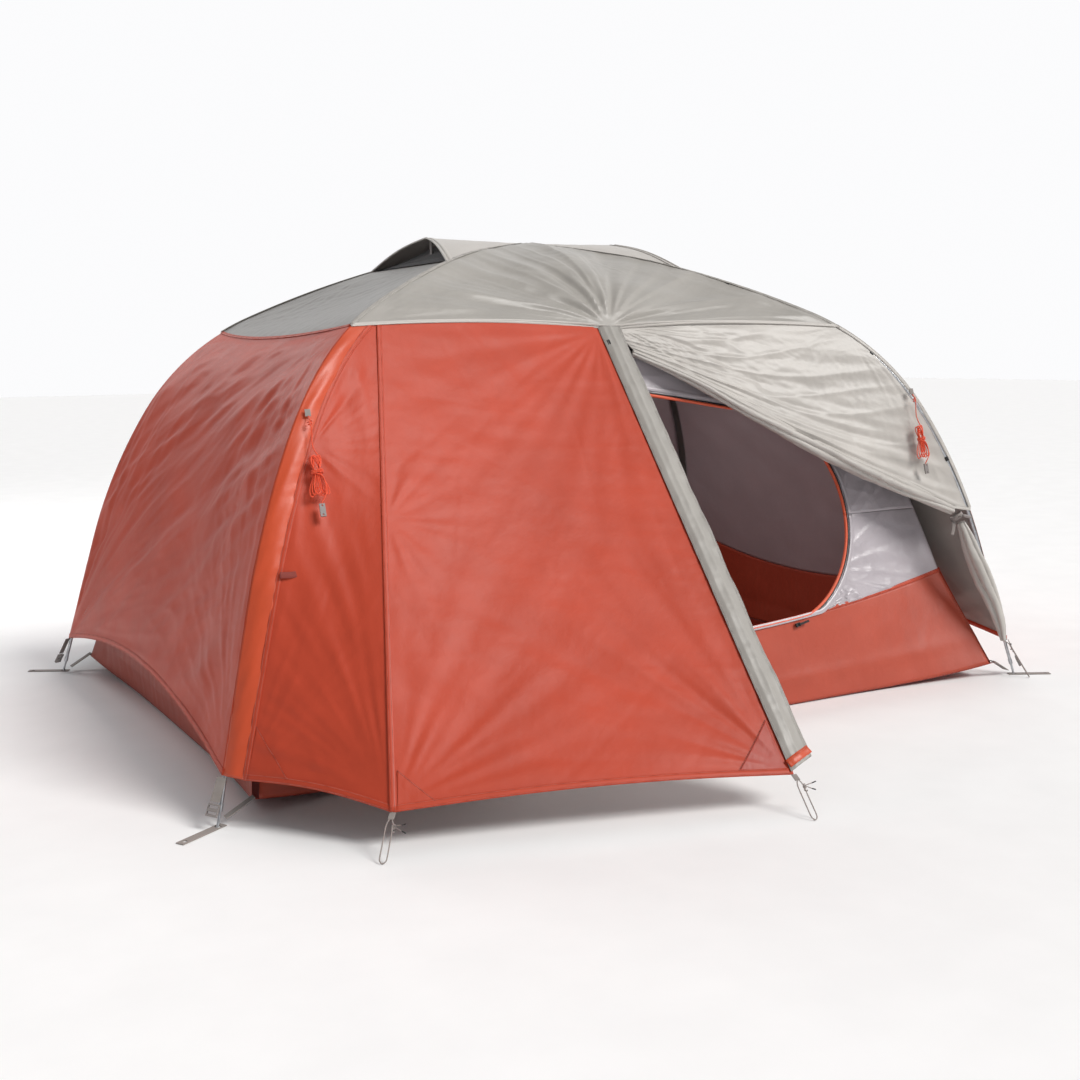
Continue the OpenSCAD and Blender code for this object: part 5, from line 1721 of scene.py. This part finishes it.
def add_tub():
    """The four bathtub walls and the floor."""
    rows, cols = 26, 220
    u, w = np.linspace(-0.985, 0.985, cols), lines(rows)
    tx = np.array([[inner_x(tub_top(k)) * k, inner_y(tub_top(k)), tub_top(k)] for k in u])
    ex = np.array([[inner_x(tub_top(k)), inner_y(tub_top(k)) * k, tub_top(k)] for k in u])
    pieces = []
    for name, side in (("front", -1), ("rear", 1)):
        x, y, z = tub_foot(u, FLOOR_X, FLOOR_Y, FLOOR_IN_Y)
        foot = np.stack((x, y, z), -1)
        grid = foot[None] * (1 - w)[:, None, None] + tx[None] * w[:, None, None]
        grid = grid * (1, side, 1)
        pieces.append((name, grid, (0, side, 0.2)))
    for name, side in (("left", -1), ("right", 1)):
        x, y, z = tub_foot(u, FLOOR_Y, FLOOR_X, FLOOR_IN_X)
        foot = np.stack((y, x, z), -1)
        grid = foot[None] * (1 - w)[:, None, None] + ex[None] * w[:, None, None]
        grid = grid * (side, 1, 1)
        pieces.append((name, grid, (side, 0, 0.2)))
    for k, (name, grid, out) in enumerate(pieces):
        cloth = Cloth(grid, out, 361 + 4 * k)
        across = cloth.s
        fold = np.exp(-np.abs(across - 0.30) / 0.06)
        cloth.height += 0.006 * fold * (0.7 + noise(cloth.flat_x / 0.3, 0 * across, 363))
        waves = noise(cloth.flat_x / 0.16 + across, across * 0.9, 364 + k)
        cloth.height += 0.005 * waves * np.sin(math.pi * across)
        cloth.height += 0.0012 * noise(cloth.flat_x / 0.022, across * 1.5, 365) * cloth.held(0.02)
        cloth.fan(0.98, 0.02, spread=6, amount=0.004, reach=0.2)
        cloth.fan(0.98, 0.98, spread=6, amount=0.004, reach=0.2)
        cloth.crinkle(0.03, 0.0006)
        cloth.pucker("bottom", pitch=0.012, amount=0.0009)
        sewn(f"bathtub_{name}_cloth", cloth, "tub", "tub", ["bathtub_walls"])
        sew_seam(cloth.points[-1], cloth.normal[-1], "orange")
    rows = cols = 120
    p, q = np.meshgrid(np.linspace(-1, 1, rows), np.linspace(-1, 1, cols), indexing="ij")
    x = p * (FLOOR_X - FLOOR_IN_X * (1 - q ** 4))
    y = q * (FLOOR_Y - FLOOR_IN_Y * (1 - p ** 4))
    z = 0.0014 + FLOOR_T + CORNER_LIFT * np.abs(p) ** 6 * np.abs(q) ** 6
    floor = Cloth(np.stack((x, y, z), -1), UP, 381)
    floor.height += 0.004 * np.abs(noise(x / 0.22, y / 0.18, 382)) * floor.held(0.06)
    floor.height += 0.0022 * ridged(x / 0.09 + y * 3, y / 0.15, 383) * floor.held(0.05)
    piece = shell("inner_floor_cloth", floor.points, "floor", "floor", 0.0012, UP, np.stack((x, y), -1))
    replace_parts(piece, "inner_floor")


def add_end_walls():
    """The two plain end walls of the inner tent."""
    rows, cols = 80, 120
    v = np.linspace(-0.97, 0.97, cols)
    for name, side, seed in (("left", -1, 391), ("right", 1, 395)):
        low = np.array([tub_top(k) for k in v])
        zs = low[None] + (0.926 - low)[None] * lines(rows)[:, None]
        x = np.vectorize(inner_x)(zs)
        grid = np.stack((side * x, v[None] * inner_y(zs), zs), -1)
        cloth = Cloth(grid, (side, 0, 0), seed)
        cloth.belly(0.006)
        cloth.folds(30, wave=0.08, amount=0.003)
        cloth.crinkle(0.035, 0.0008)
        cloth.pucker("top")
        sewn(f"inner_{name}_end_cloth", cloth, "lilac", "lilac", ["inner_end_walls"])


def inner_ridge(corner, f):
    x, y = inner_x(INNER_TOP_Z), inner_y(INNER_TOP_Z)
    z = INNER_PEAK_Z - (INNER_PEAK_Z - INNER_TOP_Z) * f ** 2.2
    return np.stack((corner[0] * x * f, corner[1] * y * f, z), -1)


def add_inner_roof():
    """The four mesh panels under the poles."""
    f = 0.03 + 0.96 * lines(36)
    pairs = ((FL, BL, "left"), (BR, FR, "right"), (FR, FL, "front"), (BL, BR, "rear"))
    for a, b, name in pairs:
        cloth = Cloth(ruled(inner_ridge(a, f), inner_ridge(b, f), 60), UP, 401)
        cloth.belly(0.012)
        cloth.folds(20, wave=0.06, amount=0.002)
        sewn(f"inner_roof_{name}_mesh", cloth, "mesh", "mesh", ["inner_roof"])


ROLL_TIE_R = 0.0255


def add_inner_roll():
    """The inner door, rolled up beside its doorway and held by two ties."""
    ups = np.linspace(DOOR_LOW + 0.020, up_wall(DOOR_HIGH) - 0.040, 7)
    path = on_wall(np.full(7, -DOOR_X - 0.034), ups, np.full(7, -0.030))
    radii = (0.014, 0.022, 0.025, 0.024, 0.025, 0.022, 0.013)
    verts, faces, uvs = pleated_tube(path, radii, 56, 120, 411, 4, 0.34)
    roll = mesh_piece("inner_front_roll_cloth", verts, faces, uvs, ("lilac",))
    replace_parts(roll, "inner_front_door_roll")
    ties = Bag()
    for k in (40, 84):
        centre, ahead = path[0] + (path[-1] - path[0]) * (k / 120), unit(path[-1] - path[0])
        a = unit(np.cross(ahead, UP + 0.3))
        b = np.cross(ahead, a)
        ring = centre + circle(a, b, ROLL_TIE_R, 32)
        ties.ribbon(ring, unit(ring - centre), 0.010, 0.0012)
    ties.build("inner_roll_ties", "black_tape", "inner_cloth")


def add_rear_wall_dark_lines():
    """Two black strips on the inside of the rear wall, seen through the doorway."""
    tapes = Bag()
    inward = -half_turn(on_wall(0, 0, 1) - on_wall(0, 0, 0))
    rows = (
        ((-0.62, 0.86), (-0.52, 0.56), (-0.50, 0.24)),
        ((-0.52, 0.56), (-0.60, 0.42), (-0.80, 0.28)),
    )
    for row in rows:
        flat = np.array(row)
        line = half_turn(on_wall(flat[:, 0], flat[:, 1], -0.012))
        tapes.ribbon(resample(curve_through(line, 60), 60), inward, 0.016, 0.0008)
    tapes.build("inner_rear_wall_dark_lines", "black_tape", "inner_cloth")


add_long_wall("front", False, 321)
add_long_wall("rear", True, 331)
add_rear_inner_door()
add_tub()
add_end_walls()
add_inner_roof()
add_inner_roll()
add_rear_wall_dark_lines()


# ======== Seams collected from all the panels ========
SEAM_SLOTS = {
    "orange": "fly_orange", "bright_orange": "fly_orange", "grey": "fly_grey", "pale_grey": "fly_grey",
}
THREAD_SLOTS = {"thread": "fly_orange", "grey_thread": "fly_grey"}
for color, bag in seams.items():
    bag.build(f"seams_{color}", color, SEAM_SLOTS[color])
for color, bag in threads.items():
    bag.build(f"stitches_{color}", color, THREAD_SLOTS[color])


# ======== Hard parts that keep their CAD shape ========
HARD_FINISH = {
    "pole_a": "aluminium", "pole_b": "aluminium", "pole_ferrules": "aluminium", "brow_pole": "aluminium",
    "pole_tips": "aluminium", "pole_hub": "plastic", "hub_saddle": "plastic", "pole_clips": "black",
    "inner_zip_slider": "black", "front_zip_slider": "black", "rear_zip_slider": "black",
    "zip_tapes": "zip_black", "left_vent_prop": "plastic", "right_vent_prop": "plastic",
    "corner_webbing": "strap", "corner_buckles": "plastic", "stake_tabs": "strap", "guyline_tabs": "strap",
    "front_left_tensioner": "plastic", "front_right_tensioner": "plastic",
    "rear_left_tensioner": "plastic", "rear_right_tensioner": "plastic",
}
for name, finish in HARD_FINISH.items():
    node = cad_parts[name]
    node.data.materials.clear()
    node.data.materials.append(MATERIALS[finish])
